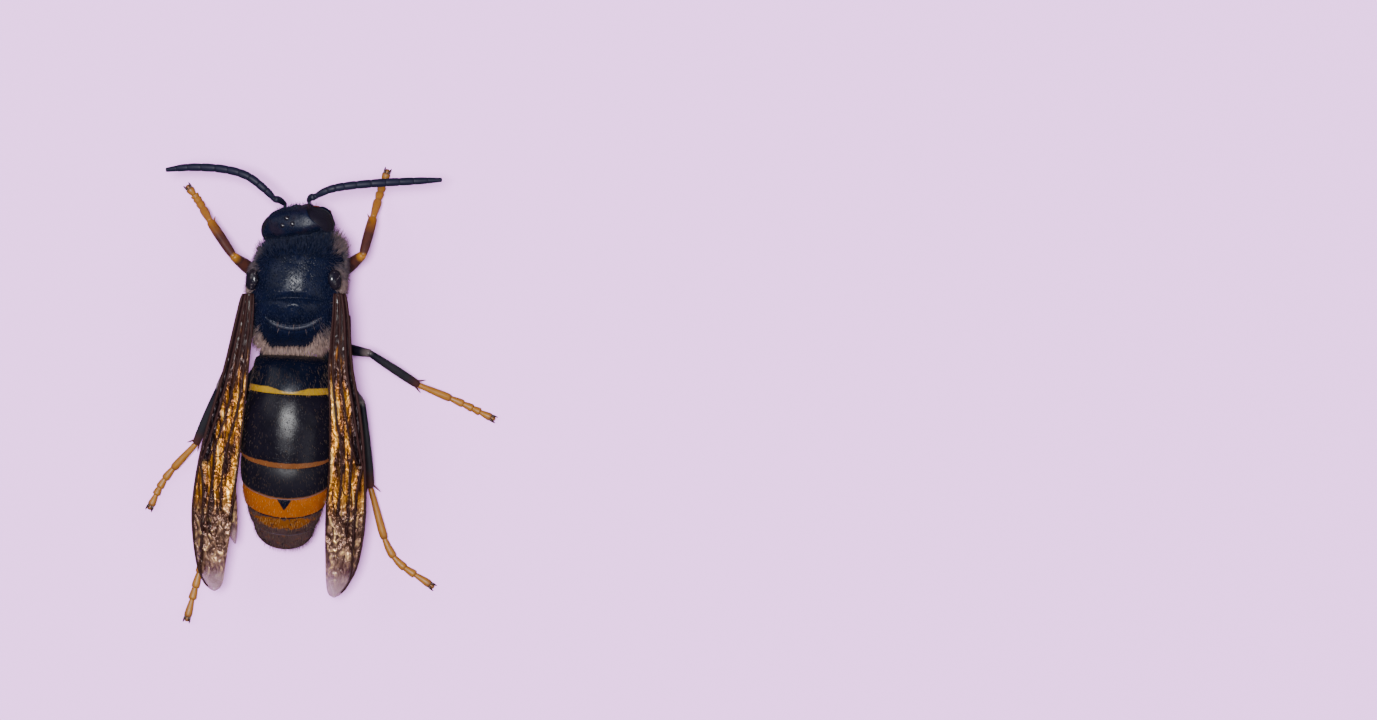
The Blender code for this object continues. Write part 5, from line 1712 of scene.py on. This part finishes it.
def make_stage(settings):
    """Pale floor, soft lamps and the camera straight above."""
    deselect()
    bpy.ops.mesh.primitive_plane_add(size=settings.floor_size)
    floor = bpy.context.object
    floor.name = "studio_floor"
    material, tree, shader = new_material("studio_floor", Roughness=0.9, Specular_IOR_Level=0.1)
    place = millimetres(tree)
    light = tuple(settings.floor)
    colour = mixed(tree, grain(tree, place, 0.02, 3), shade(light, 0.995), light)
    join_up(tree, shader, Base_Color=colour)
    floor.data.materials.append(material)
    # The floor lights the shell but leaves no violet rims in its gloss
    floor.visible_glossy = False

    world = bpy.context.scene.world or bpy.data.worlds.new("studio")
    bpy.context.scene.world = world
    world.use_nodes = True
    world.node_tree.nodes["Background"].inputs["Color"].default_value = (*settings.sky, 1.0)
    world.node_tree.nodes["Background"].inputs["Strength"].default_value = settings.sky_strength
    for name, spot, size, power in (
            ("lamp_above", (-0.03, 0.02, 0.95), 0.20, settings.key),
            ("lamp_left", (-0.40, 0.25, 0.45), 0.35, settings.fill),
            ("lamp_right", (0.45, -0.20, 0.50), 0.35, settings.fill * 0.8)):
        lamp = bpy.data.lights.new(name, "AREA")
        lamp.size = size
        lamp.energy = power
        made = bpy.data.objects.new(name, lamp)
        made.location = spot
        made.rotation_euler = (-Vector(spot)).to_track_quat("-Z", "Y").to_euler()
        bpy.context.scene.collection.objects.link(made)
    lens = bpy.data.cameras.new("camera")
    lens.lens = settings.lens
    lens.sensor_width = 36.0
    lens.clip_start, lens.clip_end = 0.01, 10.0
    camera = bpy.data.objects.new("camera", lens)
    distance = settings.view_width * settings.lens / lens.sensor_width
    camera.location = (settings.view_x * MM, settings.view_y * MM, (distance + settings.view_level) * MM)
    bpy.context.scene.collection.objects.link(camera)
    bpy.context.scene.camera = camera


# Settings


def colour_setting(name, description, default):
    """A colour that a user may change."""
    return FloatVectorProperty(name=name, description=description, subtype="COLOR", size=3, min=0, max=1,
                               default=default)


class HornetShellSettings(bpy.types.PropertyGroup):
    """Colours of the thorax, head, eyes, jaws and feelers."""

    dark: colour_setting("Shell", "Ground colour of the thorax and head", (0.0020, 0.0031, 0.0105))
    sheen: colour_setting("Sheen", "Tint of the short pile's sheen", (0.45, 0.55, 1.0))
    pile_dark: colour_setting("Dark pile", "Pile of the collar and back", (0.0026, 0.0054, 0.0230))
    pile_pale: colour_setting("Pale pile", "Tan pile of the flanks and waist", (0.32, 0.21, 0.175))
    brow: colour_setting("Brow", "Reddish brown between the eyes", (0.060, 0.020, 0.020))
    eye: colour_setting("Eye", "Depth of the compound eyes", (0.0046, 0.0034, 0.0074))
    jaw: colour_setting("Jaw", "Orange brown of the jaws", (0.15, 0.048, 0.006))
    feeler: colour_setting("Feeler", "Blue-black of the feelers", (0.0035, 0.0036, 0.0105))


class HornetGasterSettings(bpy.types.PropertyGroup):
    """Colours of the gaster's plates."""

    black: colour_setting("Black", "Ground of the front plates", (0.0012, 0.0018, 0.0058))
    smoke: colour_setting("Smoke", "Ground of the second plate", (0.0030, 0.0024, 0.0050))
    umber: colour_setting("Umber", "Ground of the last plates", (0.023, 0.0125, 0.0125))
    yellow: colour_setting("Yellow", "Thin band of the first plate", (0.195, 0.112, 0.006))
    tawny: colour_setting("Tawny", "Thin band of the second plate", (0.090, 0.030, 0.009))
    orange: colour_setting("Orange", "Broad band of the fourth plate", (0.165, 0.040, 0.0010))
    rust: colour_setting("Rust", "Mottled band of the fifth plate", (0.085, 0.025, 0.0030))
    # The pale free edges are partly their own pale colour and partly a painted highlight on the rolled rim
    margin: colour_setting("Margin", "Pale free edges", (0.10, 0.085, 0.115))


class HornetWingSettings(bpy.types.PropertyGroup):
    """Colours of the wings."""

    root: colour_setting("Root", "Purple brown near the root", (0.0085, 0.0028, 0.0042))
    edge: colour_setting("Leading edge", "Dark band along the leading edge", (0.0042, 0.0020, 0.0038))
    # Dark brown of the membrane, also used as painted shade in the hollows of the outer membrane's folds
    umber: colour_setting("Umber", "Dark brown folds", (0.030, 0.0095, 0.0055))
    amber: colour_setting("Amber", "Brown amber membrane", (0.140, 0.046, 0.005))
    # Partly the membrane's golden colour, partly a painted reflection in its bright streaks
    gold: colour_setting("Gold", "Golden membrane", (0.36, 0.145, 0.010))
    # Painted highlight at the bright end of the streaks and folds
    gold_highlight: colour_setting("Straw", "Palest gold", (0.66, 0.42, 0.14))
    brown: colour_setting("Brown", "Crumpled outer membrane", (0.075, 0.038, 0.028))
    # Painted light on the tops of the outer membrane's folds
    fold_light: colour_setting("Copper", "Lit folds of the outer membrane", (0.20, 0.105, 0.065))
    tip: colour_setting("Tip", "Pale tip", (0.18, 0.108, 0.108))
    vein: colour_setting("Vein", "Dark veins", (0.0115, 0.0042, 0.0042))


class HornetLegSettings(bpy.types.PropertyGroup):
    """Colours of the legs and feet."""

    black: colour_setting("Black", "Dark legs", (0.0035, 0.0033, 0.0080))
    grey: colour_setting("Grey", "Pale skin at the rear knees", (0.080, 0.062, 0.062))
    slate: colour_setting("Slate", "Greyer shin of the rear legs", (0.012, 0.0115, 0.014))
    russet: colour_setting("Russet", "Reddish brown of the front legs", (0.042, 0.0135, 0.0105))
    amber: colour_setting("Amber", "Darker gold", (0.135, 0.048, 0.0045))
    yellow: colour_setting("Yellow", "Golden yellow toes", (0.225, 0.094, 0.008))
    claw: colour_setting("Claw", "Dark claws", (0.018, 0.007, 0.006))


class HornetStageSettings(bpy.types.PropertyGroup):
    """Floor, lamps and camera."""

    floor: colour_setting("Floor", "Colour of the floor", (0.90, 0.42, 1.0))
    sky: colour_setting("Surround", "Colour of the soft surround", (0.80, 0.86, 1.0))
    floor_size: FloatProperty(name="Floor size", description="Side of the floor", default=4.0, unit="LENGTH")
    sky_strength: FloatProperty(name="Surround strength", description="Light of the surround", default=0.10,
                                min=0)
    key: FloatProperty(name="Key lamp", description="Power of the lamp above", default=22.5, min=0,
                       unit="POWER")
    fill: FloatProperty(name="Fill lamps", description="Power of the side lamps", default=1.6, min=0,
                        unit="POWER")
    lens: FloatProperty(name="Lens", description="Focal length in millimetres", default=200.0, min=20)
    view_width: FloatProperty(name="View width", description="Width of the view in millimetres",
                              default=90.33)
    view_x: FloatProperty(name="View X", description="Middle of the view across, in millimetres",
                          default=24.24)
    view_y: FloatProperty(name="View Y", description="Middle of the view along, in millimetres", default=2.36)
    view_level: FloatProperty(name="View level", description="Height at which the width holds", default=3.5)


SETTINGS = {
    "hornet_shell": HornetShellSettings,
    "hornet_gaster": HornetGasterSettings,
    "hornet_wings": HornetWingSettings,
    "hornet_legs": HornetLegSettings,
    "hornet_stage": HornetStageSettings,
}


# Operators


class HORNET_OT_thorax(bpy.types.Operator):
    """Add the thorax with its neck and waist"""

    bl_idname = "hornet.thorax"
    bl_label = "Thorax"

    def execute(self, context):
        make_thorax(context.scene.hornet_shell)
        return {"FINISHED"}


class HORNET_OT_gaster(bpy.types.Operator):
    """Add the six plates of the gaster"""

    bl_idname = "hornet.gaster"
    bl_label = "Gaster"

    def execute(self, context):
        make_gaster(context.scene.hornet_gaster)
        return {"FINISHED"}


class HORNET_OT_head(bpy.types.Operator):
    """Add the head capsule and the ocelli"""

    bl_idname = "hornet.head"
    bl_label = "Head"

    def execute(self, context):
        make_head(context.scene.hornet_shell, context.scene.hornet_gaster)
        return {"FINISHED"}


class HORNET_OT_eyes(bpy.types.Operator):
    """Add both compound eyes"""

    bl_idname = "hornet.eyes"
    bl_label = "Eyes"

    def execute(self, context):
        make_eyes(context.scene.hornet_shell)
        return {"FINISHED"}


class HORNET_OT_jaws(bpy.types.Operator):
    """Add both jaws"""

    bl_idname = "hornet.jaws"
    bl_label = "Jaws"

    def execute(self, context):
        make_jaws(context.scene.hornet_shell)
        return {"FINISHED"}


class HORNET_OT_feelers(bpy.types.Operator):
    """Add both feelers"""

    bl_idname = "hornet.feelers"
    bl_label = "Feelers"

    def execute(self, context):
        make_feelers(context.scene.hornet_shell)
        return {"FINISHED"}


class HORNET_OT_wing_scales(bpy.types.Operator):
    """Add the scales over the wing roots"""

    bl_idname = "hornet.wing_scales"
    bl_label = "Wing scales"

    def execute(self, context):
        make_wing_scales(context.scene.hornet_shell)
        return {"FINISHED"}


class HORNET_OT_wings(bpy.types.Operator):
    """Add both pairs of wings"""

    bl_idname = "hornet.wings"
    bl_label = "Wings"

    def execute(self, context):
        make_wings(context.scene.hornet_wings)
        return {"FINISHED"}


class HORNET_OT_legs(bpy.types.Operator):
    """Add the six legs with their feet"""

    bl_idname = "hornet.legs"
    bl_label = "Legs"

    def execute(self, context):
        make_legs(context.scene.hornet_legs)
        return {"FINISHED"}


class HORNET_OT_stage(bpy.types.Operator):
    """Add the floor, lamps and camera"""

    bl_idname = "hornet.stage"
    bl_label = "Stage"

    def execute(self, context):
        make_stage(context.scene.hornet_stage)
        return {"FINISHED"}


OPERATORS = (
    HORNET_OT_thorax, HORNET_OT_gaster, HORNET_OT_head, HORNET_OT_eyes, HORNET_OT_jaws, HORNET_OT_feelers,
    HORNET_OT_wing_scales, HORNET_OT_wings, HORNET_OT_legs, HORNET_OT_stage)


class HORNET_PT_panel(bpy.types.Panel):
    """Lists the hornet's pieces and their settings"""

    bl_idname = "HORNET_PT_panel"
    bl_label = "Hornet"
    bl_space_type = "VIEW_3D"
    bl_region_type = "UI"
    bl_category = "Hornet"

    def draw(self, context):
        for operator in OPERATORS:
            self.layout.operator(operator.bl_idname)
        for key, group in SETTINGS.items():
            box = self.layout.box()
            box.label(text=key)
            for name in group.__annotations__:
                box.prop(getattr(context.scene, key), name)


def register():
    """Make the settings, operators and panel known to Blender."""
    for key, group in SETTINGS.items():
        bpy.utils.register_class(group)
        setattr(bpy.types.Scene, key, PointerProperty(type=group))
    for item in (*OPERATORS, HORNET_PT_panel):
        bpy.utils.register_class(item)


def unregister():
    """Take them back."""
    for item in (HORNET_PT_panel, *reversed(OPERATORS)):
        bpy.utils.unregister_class(item)
    for key, group in SETTINGS.items():
        delattr(bpy.types.Scene, key)
        bpy.utils.unregister_class(group)


def main():
    """Build every piece in order."""
    register()
    for step in ("stage", "thorax", "gaster", "head", "eyes", "jaws", "feelers", "wing_scales", "wings",
                 "legs"):
        getattr(bpy.ops.hornet, step)()


if __name__ == "__main__":
    main()
